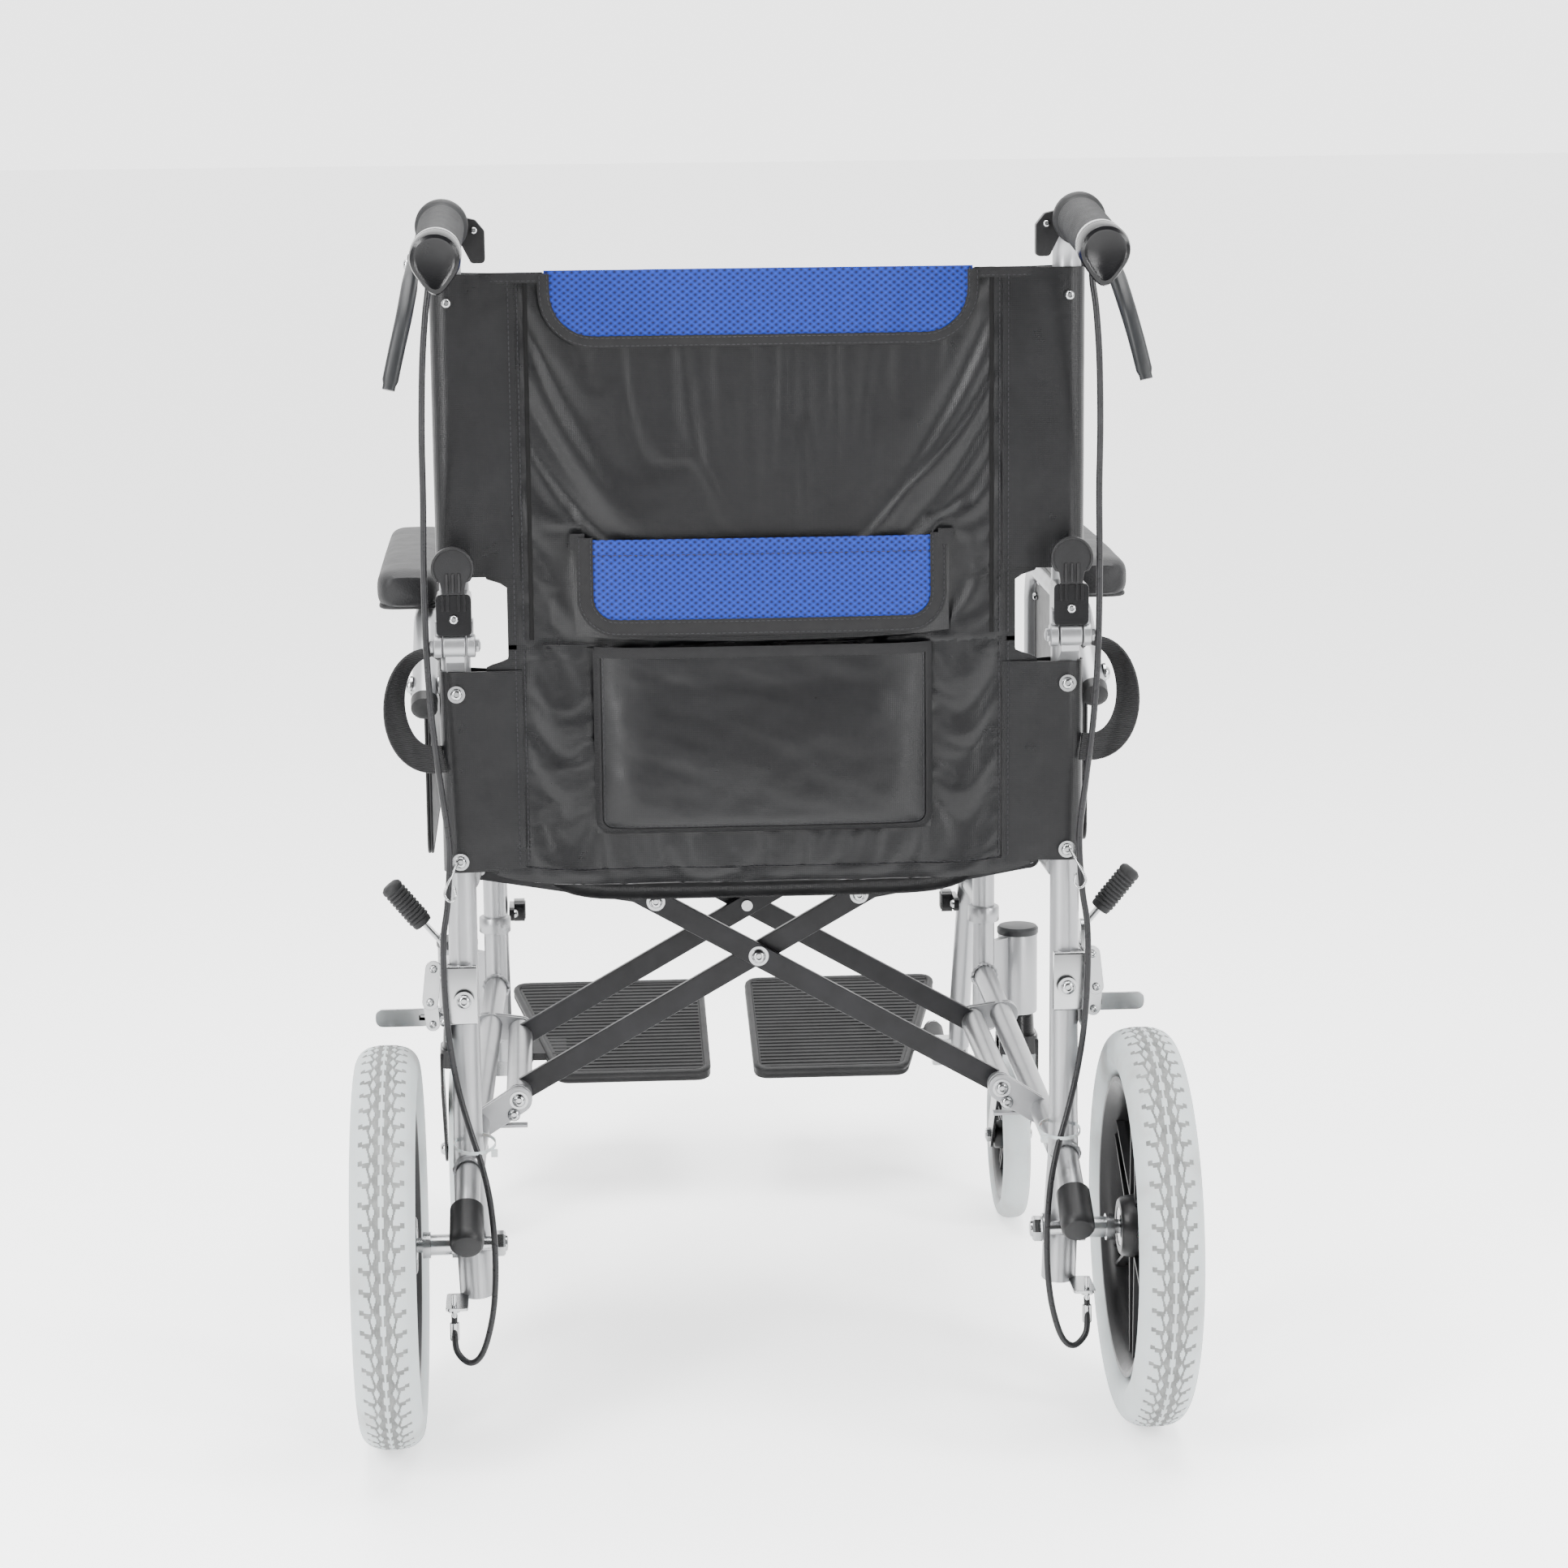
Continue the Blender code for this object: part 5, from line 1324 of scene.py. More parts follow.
def arm_pad():
    """Foam pad under a leathery skin: crowned top, soft edges."""
    x0, x1, y0, y1, z0, z1 = 0.2415, 0.29, 0.098, 0.39, 0.6215, 0.654
    middle_x, half = (x0 + x1) / 2, (x1 - x0) / 2
    rings = []
    rows = 64
    for i in range(rows + 1):
        t = i / rows
        y = y0 + (y1 - y0) * t
        end = min(t, 1 - t) * (y1 - y0)
        shrink = math.sqrt(max(0.0, 1 - max(0.0, 1 - end / 0.02) ** 2)) if end < 0.02 else 1.0
        shrink = max(shrink, 0.3)
        wide = half * (0.55 + 0.45 * shrink)
        crown = 0.0022 * math.sin(math.pi * t)
        ripple = 0.0004 * noise.noise(Vector((0.0, y * 30, 0.0)))
        ring = []
        for c, s in circle(40):
            x = middle_x + wide * soft(c, 0.45)
            tall = (z1 - z0) / 2 * (0.62 + 0.38 * shrink)
            z = z0 + (z1 - z0) / 2 + tall * soft(s, 0.6)
            if s > 0:
                z += (crown - 0.0022 + ripple) * s - 0.0018 * c * c
            ring.append(Vector((x, y, z)))
        rings.append(ring)
    return bridged(rings)


def arm_pad_trim():
    x0, x1, y0, y1, z = 0.2445, 0.287, 0.104, 0.384, 0.624
    loop = oblong((x0, y0), (x1, y1), 0.012, 6)
    return tube(closed((x, y, z) for x, y in loop), 0.0019, 10)


def arm_tube():
    route = bent([(ARM_X, 0.022, 0.5587), (ARM_X, 0.113, ARM_RAIL_Z), (ARM_X, 0.387, ARM_RAIL_Z),
                  (ARM_X, 0.387, 0.439)], 0.032, 10)
    plug = spun((ARM_X, 0.022, 0.5587), (ARM_X, 0.113, ARM_RAIL_Z), [
        (-0.0012, 0.007), (0.0, 0.01), (0.0095, 0.0103), (0.01, 0.0096)], 32)
    return tube(route, TUBE_R), plug


def arm_panel():
    outline = rounded([(0.08, 0.4345), (0.37, 0.4345), (0.37, 0.5985), (0.129, 0.5985), (0.08, 0.578)],
                      0.014, 8)
    flat = plate(outline, "x", 0.2514, 0.2548)
    rims = [tube(closed((x, y, z) for y, z in outline), 0.0013, 10) for x in (0.252, 0.2542)]
    return joined(flat, *rims)


def arm_screws():
    shapes = []
    for y in (0.145, 0.245, 0.345):
        shapes.append(bolt((ARM_X, y, ARM_RAIL_Z - TUBE_R - 0.001), (0, 0, 1), 0.0038, False))
    for y, z in ((0.3625, 0.586), (0.3625, 0.448), (0.137, 0.59)):
        shapes.append(bolt((0.2504, y, z), (1, 0, 0), 0.0034, False))
        shapes.append(bolt((0.256, y, z), (-1, 0, 0), 0.0034, False))
    for y in (0.15, 0.34):
        shapes.append(box((ARM_X - 0.01, y - 0.012, 0.6185), (ARM_X + 0.016, y + 0.012, 0.6222)))
    return joined(*shapes)


def build_arms():
    route, plug = arm_tube()
    pair("arm_tube", route, "silver", "arm", ("arm_frame",))
    pair("arm_plug", plug, "mould", "arm")
    pair("arm_cushion", arm_pad(), "pad", "arm", ("arm_pad",), sharp=60)
    pair("arm_cushion_seam", arm_pad_trim(), "pad", "arm")
    pair("arm_panel", arm_panel(), "mould", "arm", ("arm_side_panel",), bevel=0.0004)
    pair("arm_screws", arm_screws(), "zinc", "arm", bevel=0.0003)
    pivot = joined(bolt((ARM_X + TUBE_R + 0.0006, ARM.y, ARM.z), (-1, 0, 0), 0.0056),
                   spun((0.236, ARM.y, ARM.z), (0.3, ARM.y, ARM.z),
                        [(0.0, 0.0078), (0.007, 0.0078), (0.0074, 0.007)], 32))
    pair("arm_pivot", pivot, "zinc", "side")


# ---- wheel locks ----
LOCK_Z = 0.342


def lock_clamp():
    """Curved clamp round the rear post and the toggle plate it carries."""
    path = []
    for k in range(25):
        angle = math.radians(-100 + 200 * k / 24)
        path.append((POST_X + (POST_R + 0.0026) * math.cos(angle),
                     POST_Y - (POST_R + 0.0026) * math.sin(angle), 0.345))
    shell = band(path, (0, 0, 0.019), 0.002)
    side = plate(rounded([(-0.012, 0.308), (0.045, 0.308), (0.045, 0.364), (-0.012, 0.368)], 0.007, 6),
                 "x", 0.2398, 0.2427)
    foot = plate(oblong((-0.0125, 0.3225), (-0.006, 0.368), 0.002), "x", 0.218, 0.2425)
    return joined(shell, side, foot)


def lock_fittings():
    shapes = [bolt((POST_X, -0.0172, LOCK_Z), (0, 1, 0), 0.0054),
              bolt((0.2512, *LEVER_PIVOT), (-1, 0, 0), 0.005),
              bolt((0.2538, *SHOE_PIVOT), (-1, 0, 0), 0.0046),
              bolt((0.244, 0.008, 0.356), (-1, 0, 0), 0.0036, False),
              bolt((0.244, 0.008, 0.32), (-1, 0, 0), 0.0036, False),
              rod((0.241, *LEVER_PIVOT), (0.2515, *LEVER_PIVOT), 0.0034, 20),
              rod((0.241, *SHOE_PIVOT), (0.2535, *SHOE_PIVOT), 0.0034, 20)]
    return joined(*shapes)


def lock_lever():
    cheek = plate(capsule(LEVER_PIVOT, (0.031, 0.376), 0.008), "x", 0.2433, 0.2463)
    route = smooth([(0.2448, 0.031, 0.364), (0.245, 0.031, 0.376), (0.252, 0.031, 0.385),
                    (0.28, 0.031, 0.4175)], 6)
    rings = []
    for here, (tangent, _, _) in zip(route, frames_along(route)):
        wide = Vector((0, 1, 0))
        thick = tangent.cross(wide).normalized()
        ring = []
        for c, s in circle(20):
            ring.append(here + wide * 0.0056 * soft(c, 0.4) + thick * 0.0018 * soft(s, 0.4))
        rings.append(ring)
    return joined(cheek, bridged(rings))


def lock_grip():
    a, b = Vector((0.258, 0.031, 0.3911)), Vector((0.284, 0.031, 0.4229))
    length = (b - a).length
    profile = [(0.0, 0.005), (0.0006, 0.0072), (0.003, 0.0079)]
    for k in range(9):
        at = 0.005 + (length - 0.012) * k / 9
        profile += [(at, 0.0076), (at + 0.0008, 0.0086), (at + 0.0022, 0.0086), (at + 0.003, 0.0076)]
    profile += [(length - 0.005, 0.0086), (length - 0.0022, 0.008), (length - 0.0004, 0.0055)]
    return spun(a, b, profile, 32)


def lock_shoe():
    arm = plate(capsule(SHOE_PIVOT, (0.064, 0.312), 0.0062), "x", 0.2471, 0.2499)
    shaft = rod((0.248, 0.064, 0.312), (0.264, 0.064, 0.312), 0.0042, 24)
    pad = plate(oblong((0.256, 0.06), (0.268, 0.07), 0.003, 6), "z", 0.308, 0.313)
    face = plate(oblong((0.256, 0.3035), (0.2985, 0.3175), 0.0065, 8), "y", 0.06, 0.0625)
    return joined(arm, shaft, pad, face)


def lock_links():
    """Two toggle links behind the lever, riveted together."""
    upper = plate(capsule((0.2515, 0.359), (0.2545, 0.333), 0.0062), "y", 0.0182, 0.0204)
    lower = plate(capsule((0.2545, 0.333), (0.253, 0.315), 0.0055), "y", 0.0212, 0.0232)
    side = plate(capsule(LEVER_PIVOT, (0.034, 0.322), 0.0062), "x", 0.25, 0.252)
    rivets = [bolt((x, 0.0178, z), (0, 1, 0), 0.003, False) for x, z in ((0.2515, 0.359), (0.2545, 0.333))]
    return joined(upper, lower, side, bolt((0.253, 0.0206, 0.315), (0, 1, 0), 0.0028, False), *rivets)


def lock_slot_painted_shade():
    """Painted shade of the slot in the clamp's rear face: a near-black plate standing in for its shadow."""
    return plate(capsule((POST_X + 0.003, 0.333), (POST_X + 0.003, 0.356), 0.0036), "y",
                 POST_Y - POST_R - 0.0046, POST_Y - POST_R)


def lock_spring():
    """Fine return spring coiled round the shoe's pivot, one leg up to the lever."""
    path = []
    for k in range(97):
        angle = 2 * math.pi * k / 16
        path.append((0.2502 + 0.0008 * k / 16, SHOE_PIVOT[0] + 0.0046 * math.cos(angle),
                     SHOE_PIVOT[1] + 0.0046 * math.sin(angle)))
    path += [(0.2555, 0.044, 0.332), (0.256, 0.047, 0.348), (0.253, 0.046, 0.352)]
    return tube(path, 0.00055, 8)


def build_locks():
    pair("lock_clamp", lock_clamp(), "zinc", "side", ("lock_bracket",), bevel=0.0004)
    pair("lock_fittings", lock_fittings(), "zinc", "side")
    pair("lock_lever_bar", lock_lever(), "zinc", "lock", ("lock_lever",), bevel=0.0003)
    pair("lock_grip_sleeve", lock_grip(), "grip", "lock", ("lock_grip",), sharp=50)
    pair("lock_shoe_plate", lock_shoe(), "zinc", "shoe", ("lock_shoe",), bevel=0.0004)
    pair("lock_links", lock_links(), "zinc", "side", bevel=0.0003)
    pair("lock_slot_painted_shade", lock_slot_painted_shade(), "dark", "side")
    pair("lock_spring", lock_spring(), "zinc", "side")


# ---- fabrics ----
def fabric(name, shape, mat, body, cad=()):
    return piece(name, shape, mat, body, cad, sharp=70)


CLOTH_Y = -0.0015         # middle of the back panel
CLOTH_T = 0.0014
BACK_W = 0.2055           # half width of the flat panel
BACK_LOW = 0.6062
BACK_TOP = 0.8835
SEAM_X = 0.18
SEAM_ROWS = (0.177, 0.1835)     # the two stitch rows of each side seam
UPPER_SLEEVE = (0.661, 0.8832)  # from and to, in height
LOWER_SLEEVE = (0.4385, 0.5905)
YOKE_LOW, YOKE_TOP, YOKE_HALF = 0.612, 0.686, 0.139
POCKET_LOW, POCKET_TOP, POCKET_HALF = 0.466, 0.607, 0.1255
SEAT_REAR, SEAT_DEPTH = 0.03, 0.361
COLS = 120
ROWS = 84


def shell(grid, thickness):
    """Closed thin sheet round a grid of points."""
    rows, cols = len(grid), len(grid[0])
    over, under = [], []
    for i in range(rows):
        for j in range(cols):
            along = grid[i][min(j + 1, cols - 1)] - grid[i][max(j - 1, 0)]
            up = grid[min(i + 1, rows - 1)][j] - grid[max(i - 1, 0)][j]
            normal = along.cross(up)
            sound = normal.length > 1e-12
            normal = normal.normalized() * (thickness / 2) if sound else Vector((0, thickness / 2, 0))
            over.append(grid[i][j] + normal)
            under.append(grid[i][j] - normal)
    points = over + under
    shift = rows * cols
    faces = []
    for i in range(rows - 1):
        for j in range(cols - 1):
            a, b, c, d = i * cols + j, i * cols + j + 1, (i + 1) * cols + j + 1, (i + 1) * cols + j
            faces.append((a, b, c, d))
            faces.append((d + shift, c + shift, b + shift, a + shift))
    border = [j for j in range(cols)] + [i * cols + cols - 1 for i in range(1, rows)]
    border += [(rows - 1) * cols + j for j in range(cols - 2, -1, -1)]
    border += [i * cols for i in range(rows - 2, 0, -1)]
    for a, b in zip(border, border[1:] + border[:1]):
        faces.append((b, a, a + shift, b + shift))
    return points, faces


def crease(x, z, scale, seed):
    """Soft folds from layered noise, about +-1."""
    big = noise.noise(Vector((x * scale, seed, z * scale * 0.6)))
    fine = noise.noise(Vector((x * scale * 2.7, seed + 9.0, z * scale * 2.0)))
    return big + 0.4 * fine


def simulate(grid, pinned, growth, frames):
    """Blender cloth on a grid: pinned maps a grid position to a pin weight; returns the settled grid."""
    rows, cols = len(grid), len(grid[0])
    mesh = bpy.data.meshes.new("cloth_work")
    faces = [(i * cols + j, i * cols + j + 1, (i + 1) * cols + j + 1, (i + 1) * cols + j)
             for i in range(rows - 1) for j in range(cols - 1)]
    mesh.from_pydata([tuple(p) for row in grid for p in row], [], faces)
    obj = bpy.data.objects.new("cloth_work", mesh)
    bpy.context.scene.collection.objects.link(obj)
    group = obj.vertex_groups.new(name="pin")
    for i in range(rows):
        for j in range(cols):
            weight = pinned(i, j)
            if weight > 0:
                group.add([i * cols + j], weight, "REPLACE")
    cloth = obj.modifiers.new("cloth", "CLOTH")
    settings = cloth.settings
    settings.vertex_group_mass = "pin"
    settings.quality = 6
    settings.mass = 0.2
    settings.tension_stiffness = 40
    settings.compression_stiffness = 40
    settings.shear_stiffness = 8
    settings.bending_stiffness = 0.35
    settings.air_damping = 2.0
    settings.shrink_min = -growth
    settings.effector_weights.gravity = 0.45
    cloth.collision_settings.use_self_collision = False
    cloth.point_cache.frame_start = 1
    cloth.point_cache.frame_end = frames
    scene = bpy.context.scene
    for frame_number in range(1, frames + 1):
        scene.frame_set(frame_number)
    settled = obj.evaluated_get(bpy.context.evaluated_depsgraph_get())
    points = [v.co.copy() for v in settled.data.vertices]
    scene.frame_set(1)
    bpy.data.objects.remove(obj, do_unlink=True)
    bpy.data.meshes.remove(mesh)
    return [[points[i * cols + j] for j in range(cols)] for i in range(rows)]


def limited(grid, rest, reach):
    """Keeps each point within reach of where it started."""
    out = []
    for row, start in zip(grid, rest):
        line = []
        for here, home in zip(row, start):
            offset = here - home
            if offset.length > reach:
                offset *= reach / offset.length
            line.append(home + offset)
        out.append(line)
    return out


def back_half(z):
    """Half width of the back fabric: full beside the sleeves, narrower at the cut-outs round the hinges."""
    near = max(0.0, min(1.0, (abs(z - 0.6265) - 0.0265) / 0.0075))
    return 0.189 + (BACK_W - 0.189) * near * near * (3 - 2 * near)


def back_rest_grid(low, top, amplitude, seed, dip=0.0):
    """Flat panel with a first trace of creases."""
    grid = []
    for i in range(ROWS + 1):
        row = []
        for j in range(COLS + 1):
            u = -1 + 2 * j / COLS
            foot = low + dip * abs(u) ** 8
            z = foot + (top - foot) * i / ROWS
            x = back_half(z) * u
            calm = max(0.0, min(1.0, (0.178 - abs(x)) / 0.02))
            row.append(Vector((x, CLOTH_Y + amplitude * calm * crease(x + 0.35 * z, z, 17.0, seed), z)))
        grid.append(row)
    return grid


def held_by(points, x, z):
    """Weight of the sewn places near a point."""
    return max([weight for px, pz, radius, weight in points
                if math.hypot(x - px, z - pz) < radius], default=0.0)


def settled_panel(flat, sewn, growth, reach):
    def pinned(i, j):
        here = flat[i][j]
        if abs(here.x) >= SEAM_X - 0.003:
            return 1.0
        if i in (0, len(flat) - 1):
            return 0.5
        return held_by(sewn, here.x, here.z)

    return limited(simulate(flat, pinned, growth, 26), flat, reach)


def upper_back_grid():
    sewn = [(side * 0.133, 0.69, 0.006, 0.9) for side in (-1, 1)]
    sewn += [(0.15 * k / 12, 0.833, 0.004, 0.35) for k in range(-12, 13)]
    sewn += [(0.13 * k / 8, 0.618, 0.005, 0.25) for k in range(-8, 9)]
    sewn += [(0.031, 0.775, 0.003, 0.6), (-0.052, 0.742, 0.003, 0.6), (0.088, 0.792, 0.003, 0.5),
             (-0.105, 0.802, 0.003, 0.5),
             (0.112, 0.722, 0.003, 0.5)]
    return settled_panel(back_rest_grid(BACK_LOW, BACK_TOP, 0.0024, 3.0), sewn, 0.015, 0.0075)


def sampler(grid, low, high, half):
    """Function giving the cloth's Y at an x and z."""
    rows, cols = len(grid) - 1, len(grid[0]) - 1

    def at(x, z):
        wide = half(z) if callable(half) else half
        u = min(max((x + wide) / (2 * wide) * cols, 0.0), cols - 1e-6)
        v = min(max((z - low) / (high - low) * rows, 0.0), rows - 1e-6)
        i, j = int(v), int(u)
        a, b = v - i, u - j
        return ((1 - a) * ((1 - b) * grid[i][j].y + b * grid[i][j + 1].y)
                + a * ((1 - b) * grid[i + 1][j].y + b * grid[i + 1][j + 1].y))

    return at


def teardrop(side, grow, steps=44):
    """Section of the sleeve round a post, pulled to a point at its seam."""
    centre = Vector((POST_X, POST_Y))
    radius = 0.0121 + grow
    tip = Vector((SEAM_X - 0.001, CLOTH_Y))
    away = centre - tip
    spread = math.acos(min(1.0, radius / away.length))
    base = math.atan2(-away.y, -away.x)
    points = [tip + Vector((0, 0.0008 + grow))]
    start, end = base - spread, base + spread - 2 * math.pi
    for k in range(steps + 1):
        angle = start + (end - start) * k / steps
        points.append(centre + radius * Vector((math.cos(angle), math.sin(angle))))
    points.append(tip - Vector((0, 0.0008 + grow)))
    full = []
    for a, b in zip(points, points[1:]):
        count = max(1, int((b - a).length / 0.003))
        full += [a.lerp(b, k / count) for k in range(count)]
    full.append(points[-1])
    return [Vector((side * p.x, p.y)) for p in full]


def sleeve(side, low, high, seed):
    """Fabric sleeve with a little slack; its ends are open."""
    rows = max(8, int((high - low) / 0.0045))
    outer, inner = [], []
    for i in range(rows + 1):
        z = low + (high - low) * i / rows
        out_ring, in_ring = [], []
        for a, b in zip(teardrop(side, 0.0009), teardrop(side, -0.0001)):
            slack = 0.001 * crease(a.x * 1.3, z, 26.0, seed) * min(1.0, abs(a.x - side * POST_X) / 0.014)
            out_ring.append(Vector((a.x, a.y + slack, z)))
            in_ring.append(Vector((b.x, b.y + slack, z)))
        outer.append(out_ring)
        inner.append(in_ring)
    across = sum((b - a).length for a, b in zip(outer[0], outer[0][1:]))
    return bridged(outer + inner[::-1], loop=True), across


def on_cloth(path, at, lift):
    """Points given as (x, z) laid on the rear face of a cloth."""
    return [Vector((x, at(x, z) - lift, z)) for x, z in path]


def straight(a, b, step=0.004):
    count = max(2, int(math.hypot(b[0] - a[0], b[1] - a[1]) / step))
    return [(a[0] + (b[0] - a[0]) * k / count, a[1] + (b[1] - a[1]) * k / count) for k in range(count + 1)]


def curved(points, radius, step=0.004):
    """Rounded open line in x and z, finely divided."""
    line = [(p.x, p.z) for p in bent([(x, 0.0, z) for x, z in points], radius, 8)]
    fine = []
    for a, b in zip(line, line[1:]):
        fine += straight(a, b, step)[:-1]
    fine.append(line[-1])
    return fine


def inward(path, distance):
    """Offsets a line in x and z to its left by distance."""
    out = []
    for i, (x, z) in enumerate(path):
        a, b = path[max(i - 1, 0)], path[min(i + 1, len(path) - 1)]
        dx, dz = b[0] - a[0], b[1] - a[1]
        length = math.hypot(dx, dz) or 1.0
        out.append((x - dz / length * distance, z + dx / length * distance))
    return out


def binding(path, at, width, lift, thickness=0.0013):
    """Folded tape along a line on the cloth."""
    left, right = inward(path, width / 2), inward(path, -width / 2)
    grid = []
    for k in range(5):
        t = k / 4
        bow = 0.0006 * math.sin(math.pi * t)
        line = [(a[0] + (b[0] - a[0]) * t, a[1] + (b[1] - a[1]) * t) for a, b in zip(left, right)]
        grid.append([Vector((x, at(x, z) - lift - bow, z)) for x, z in line])
    return shell(grid, thickness)


def patch(half, low, high, at, lift, corner):
    """Grid of a fabric piece on the cloth, full width at the top, with rounded lower corners."""
    rows, cols = 26, 60
    grid = []
    for i in range(rows + 1):
        z = low + (high - low) * i / rows
        cut = 0.0
        if z < low + corner:
            cut = corner - math.sqrt(max(0.0, corner ** 2 - (low + corner - z) ** 2))
        wide = half - cut
        row = []
        for j in range(cols + 1):
            x = -wide + 2 * wide * j / cols
            row.append(Vector((x, at(x, z) - lift, z)))
        grid.append(row)
    return grid


def squeeze(objects):
    for obj in objects:
        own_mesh(obj)


def build_upper_back():
    grid = upper_back_grid()
    at = sampler(grid, BACK_LOW, BACK_TOP, back_half)
    rear = CLOTH_T / 2
    body = "back_right"
    main = fabric("back_cloth", shell(grid, CLOTH_T), "nylon", body, ("back_upper_panel",))
    extra = []
    for name, side in (("right", 1), ("left", -1)):
        form, across = sleeve(side, *UPPER_SLEEVE, 5.0 + side)
        cover = fabric(f"back_sleeve_{name}", form, "nylon", f"back_{name}")
    blue = patch(0.157, 0.833, 0.885, at, rear + 0.0009, 0.036)
    extra.append(piece("back_mesh_insert", shell(blue, 0.001), "mesh", body, sharp=70))
    edge = curved([(-0.1575, BACK_TOP - 0.001), (-0.1575, 0.8325), (0.1575, 0.8325),
                   (0.1575, BACK_TOP - 0.001)], 0.036)
    tapes = [binding(edge, at, 0.0085, rear + 0.0016)]
    tops = [straight((side * 0.158, BACK_TOP - 0.0035), (side * (BACK_W - 0.001), BACK_TOP - 0.0035))
            for side in (-1, 1)]
    tapes += [binding(top, at, 0.0075, rear + 0.0012) for top in tops]
    extra.append(fabric("back_bindings", joined(*tapes), "tape", body))
    rows = [on_cloth(inward(edge, offset), at, rear + 0.0026) for offset in (0.0028, -0.0028)]
    rows += [on_cloth([(x, z - 0.0022) for x, z in top], at, rear + 0.0021) for top in tops]
    for side in (-1, 1):
        for x in SEAM_ROWS:
            line = straight((side * x, 0.612), (side * x, BACK_TOP - 0.008))
            rows.append(on_cloth(line, at, rear + 0.0012 if x < 0.18 else rear + 0.0022))
    extra.append(fabric("back_stitches", joined(*[stitches(row) for row in rows]), "thread", body))
    # painted shade: thin near-black strips beside each side seam stand in for the shadow in the slit between
    # seam and panel
    slits = [binding(straight((side * 0.1712, 0.613), (side * 0.1712, BACK_TOP - 0.002)), at, 0.003,
                     rear + 0.0003, 0.0006) for side in (-1, 1)]
    extra.append(piece("back_slit_painted_shade", joined(*slits), "dark", body, ()))
    squeeze([main] + extra)
    return at


def build_yoke(at):
    """Blue mesh upper part of the pocket with curved binding and tape tabs."""
    body = "back_right"
    rows, cols = 22, 56
    grid = []
    for i in range(rows + 1):
        t = i / rows
        row = []
        for j in range(cols + 1):
            u = -1 + 2 * j / cols
            x = YOKE_HALF * u
            z_low = YOKE_LOW + 0.004 * (u * u)
            z = z_low + (YOKE_TOP - z_low) * t
            swell = (0.0035 + 0.0095 * (1 - t) ** 0.8) * (1 - abs(u) ** 5)
            fold = 0.0006 * crease(x, z, 22.0, 17.0)
            row.append(Vector((x, CLOTH_Y - 0.0022 - swell + fold, z)))
        grid.append(row)
    yoke = fabric("yoke_base", shell(grid, 0.0011), "nylon", body, ("pocket_yoke",))
    ease = sampler(grid, YOKE_LOW, YOKE_TOP, YOKE_HALF)
    top = straight((-0.127, 0.6845), (0.127, 0.6845))
    blue = piece("yoke_mesh", shell(patch(0.127, 0.624, 0.6872, ease, 0.001, 0.02), 0.001), "mesh", body, (),
                 sharp=70)
    edge = curved([(-0.131, 0.689), (-0.131, 0.6225), (0.131, 0.6225), (0.131, 0.689)], 0.022)
    tapes = [binding(edge, ease, 0.012, 0.0018)]
    for side in (-1, 1):
        tab = straight((side * 0.1365, 0.68), (side * 0.1365, 0.692))
        tapes.append(binding(tab, at, 0.011, CLOTH_T / 2 + 0.0034))
    trim = fabric("yoke_bindings", joined(*tapes), "tape", body)
    rows_of = [on_cloth([(x, z - 0.0086) for x, z in top], ease, 0.0019)]
    rows_of += [on_cloth(inward(edge, offset), ease, 0.003) for offset in (0.0042, -0.0042)]
    sewn = fabric("yoke_stitches", joined(*[stitches(row) for row in rows_of]), "thread", body)
    squeeze([yoke, blue, trim, sewn])


def pocket_grid():
    rows, cols = 48, 84
    grid = []
    for i in range(rows + 1):
        t = i / rows
        row = []
        for j in range(cols + 1):
            u = -1 + 2 * j / cols
            x = POCKET_HALF * u
            z = POCKET_LOW + (POCKET_TOP - POCKET_LOW) * t
            side = 1 - abs(u) ** 9
            foot = 1 - (1 - min(1.0, t / 0.1)) ** 2.4
            depth = (0.014 + 0.0045 * math.sin(math.pi * min(1.0, t * 1.25)) - 0.0035 * t) * side * foot
            waves = 0.0016 * crease(x, z * 1.6, 20.0, 31.0) + 0.001 * crease(x * 0.6 + z * 1.4, z, 30.0, 44.0)
            fold = waves * side * foot
            row.append(Vector((x, CLOTH_Y - 0.0018 - depth + fold, z)))
        grid.append(row)
    return grid


def build_pocket():
    body = "side_right"
    grid = pocket_grid()
    bag = fabric("pocket_bag", shell(grid, 0.0012), "nylon", body, ("pocket_body",))
    at = sampler(grid, POCKET_LOW, POCKET_TOP, POCKET_HALF)
    seam = curved([(-0.1235, 0.605), (-0.1235, 0.4685), (0.1235, 0.4685), (0.1235, 0.605)], 0.01)
    tapes = [binding(seam, at, 0.005, 0.0007),
             binding(straight((-0.125, 0.6035), (0.125, 0.6035)), at, 0.008, 0.0009)]
    trim = fabric("pocket_bindings", joined(*tapes), "tape", body)
    rows = [on_cloth(inward(seam, 0.0042), at, 0.0008),
            on_cloth(straight((-0.123, 0.5995), (0.123, 0.5995)), at, 0.0008)]
    sewn = fabric("pocket_stitches", joined(*[stitches(row) for row in rows]), "thread", body)
    squeeze([bag, trim, sewn])


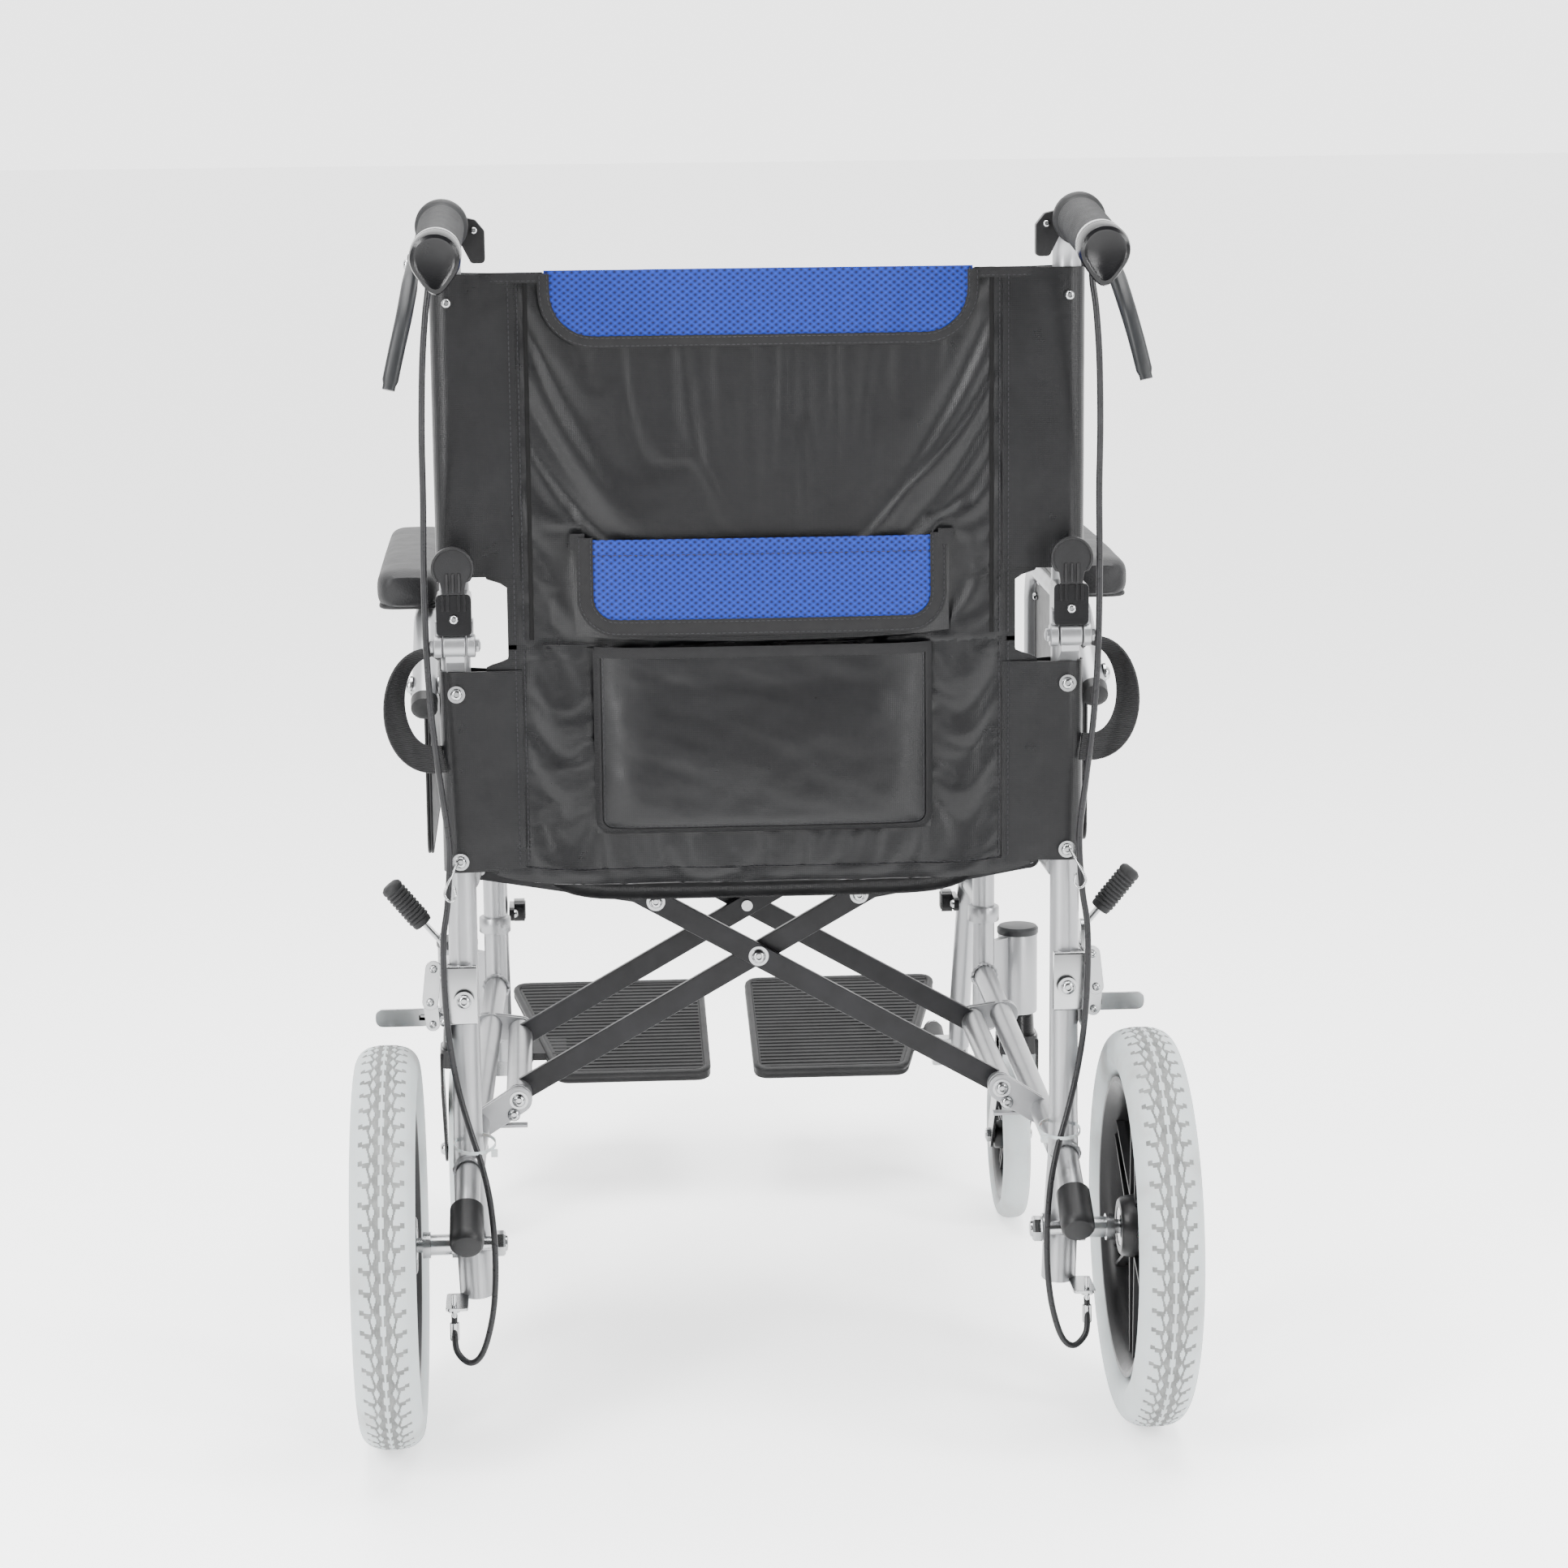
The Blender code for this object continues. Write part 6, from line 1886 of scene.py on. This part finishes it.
def build_lower_back():
    body = "side_right"
    low, top, dip = 0.4262, 0.6095, 0.011
    sewn = [(0.124 * k / 8, z, 0.004, 0.4) for k in range(-8, 9) for z in (0.467, 0.6)]
    sewn += [(side * 0.124, 0.467 + 0.0165 * k, 0.004, 0.6) for k in range(9) for side in (-1, 1)]
    grid = settled_panel(back_rest_grid(low, top, 0.0022, 61.0, dip), sewn, 0.014, 0.0065)
    main = fabric("lower_cloth", shell(grid, CLOTH_T), "nylon", body, ("back_lower_panel",))
    at = sampler(grid, low, top, back_half)
    extra = []
    for name, side in (("right", 1), ("left", -1)):
        form, across = sleeve(side, *LOWER_SLEEVE, 75.0 + side)
        cover = fabric(f"lower_sleeve_{name}", form, "nylon", f"side_{name}")
    rear = CLOTH_T / 2
    hem = [(x, low + 0.0058 + dip * abs(x / BACK_W) ** 8) for x, _ in straight((-0.199, 0.0), (0.199, 0.0))]
    stitched = [on_cloth([(x, z + 0.006) for x, z in hem], at, rear + 0.0002)]
    for side in (-1, 1):
        for x in SEAM_ROWS:
            lift = rear + (0.0012 if x < 0.18 else 0.0024)
            stitched.append(on_cloth(straight((side * x, 0.442), (side * x, 0.605)), at, lift))
    extra.append(fabric("lower_hem", binding(hem, at, 0.011, rear + 0.0003), "nylon", body))
    extra.append(fabric("lower_stitches", joined(*[stitches(row) for row in stitched]), "thread", body))
    squeeze([main] + extra)


WRAP_COLUMNS = 13


def seat_grid():
    """Sling from round one seat tube, down in a shallow sag, to round the other."""
    tube_r = 0.0118
    section = []
    for k in range(WRAP_COLUMNS):
        angle = math.radians(-140 + 230 * k / (WRAP_COLUMNS - 1))
        section.append((SEAT_TUBE.x + tube_r * math.cos(angle), SEAT_TUBE.z + tube_r * math.sin(angle)))
    right = section[:]
    middle = []
    top = right[-1]
    for k in range(1, 61):
        u = 1 - 2 * k / 61
        x = top[0] * u
        middle.append((x, top[1] - 0.015 * (1 - u * u) ** 0.9))
    left = [(-x, z) for x, z in reversed(right)]
    line = right + middle + left
    grid = []
    rows = 72
    for i in range(rows + 1):
        y = SEAT_REAR + SEAT_DEPTH * i / rows
        row = []
        for x, z in line:
            loose = 1 - min(1.0, abs(x) / 0.19) ** 6
            droop = 0.01 * max(0.0, 1 - (y - SEAT_REAR) / 0.06) ** 2 * loose
            row.append(Vector((x, y, z + 0.002 * crease(x, y, 12.0, 91.0) * loose - droop)))
        grid.append(row)
    return grid


def build_seat():
    body = "seat"
    whole = seat_grid()
    grid = [row[WRAP_COLUMNS - 1:1 - WRAP_COLUMNS] for row in whole]
    main = fabric("seat_cloth", shell(grid, 0.0018), "nylon_seat", body, ("seat_sling",))
    for name, columns in (("b", slice(0, WRAP_COLUMNS)), ("a", slice(-WRAP_COLUMNS, None))):
        part = [row[columns] for row in whole]
        wrap = fabric(f"seat_wrap_{name}", shell(part, 0.0018), "nylon_seat", f"cross_{name}")
    lines = []
    for side in (-1, 1):
        for x in (0.18, 0.176):
            column = min(range(len(grid[0])), key=lambda j: abs(grid[0][j].x - side * x))
            lines.append([row[column] + Vector((0, 0, 0.0011)) for row in grid])
    for i in (2, len(grid) - 3):
        lines.append([p + Vector((0, 0, 0.0011)) for p in grid[i][2:-2]])
    hem = []
    for k in range(9):
        t = k / 8
        row = []
        for p in grid[0]:
            foot = 0.407 + 0.052 * min(1.0, abs(p.x) / 0.188) ** 9
            row.append(Vector((p.x, p.y - 0.0004 + 0.0018 * math.sin(math.pi * t), foot + (p.z - foot) * t)))
        hem.append(row)
    skirt = fabric("seat_hem", shell(hem, 0.0018), "nylon_seat", body)
    sewn = fabric("seat_stitches", joined(*[stitches(line) for line in lines]), "thread", body)
    squeeze([main, sewn, skirt])


# ---- put together ----
make_camera()
make_studio()
build_sides()
build_wheels()
build_cross()
build_back()
build_front()
build_arms()
build_locks()
cloth_at = build_upper_back()
build_yoke(cloth_at)
build_lower_back()
build_pocket()
build_seat()
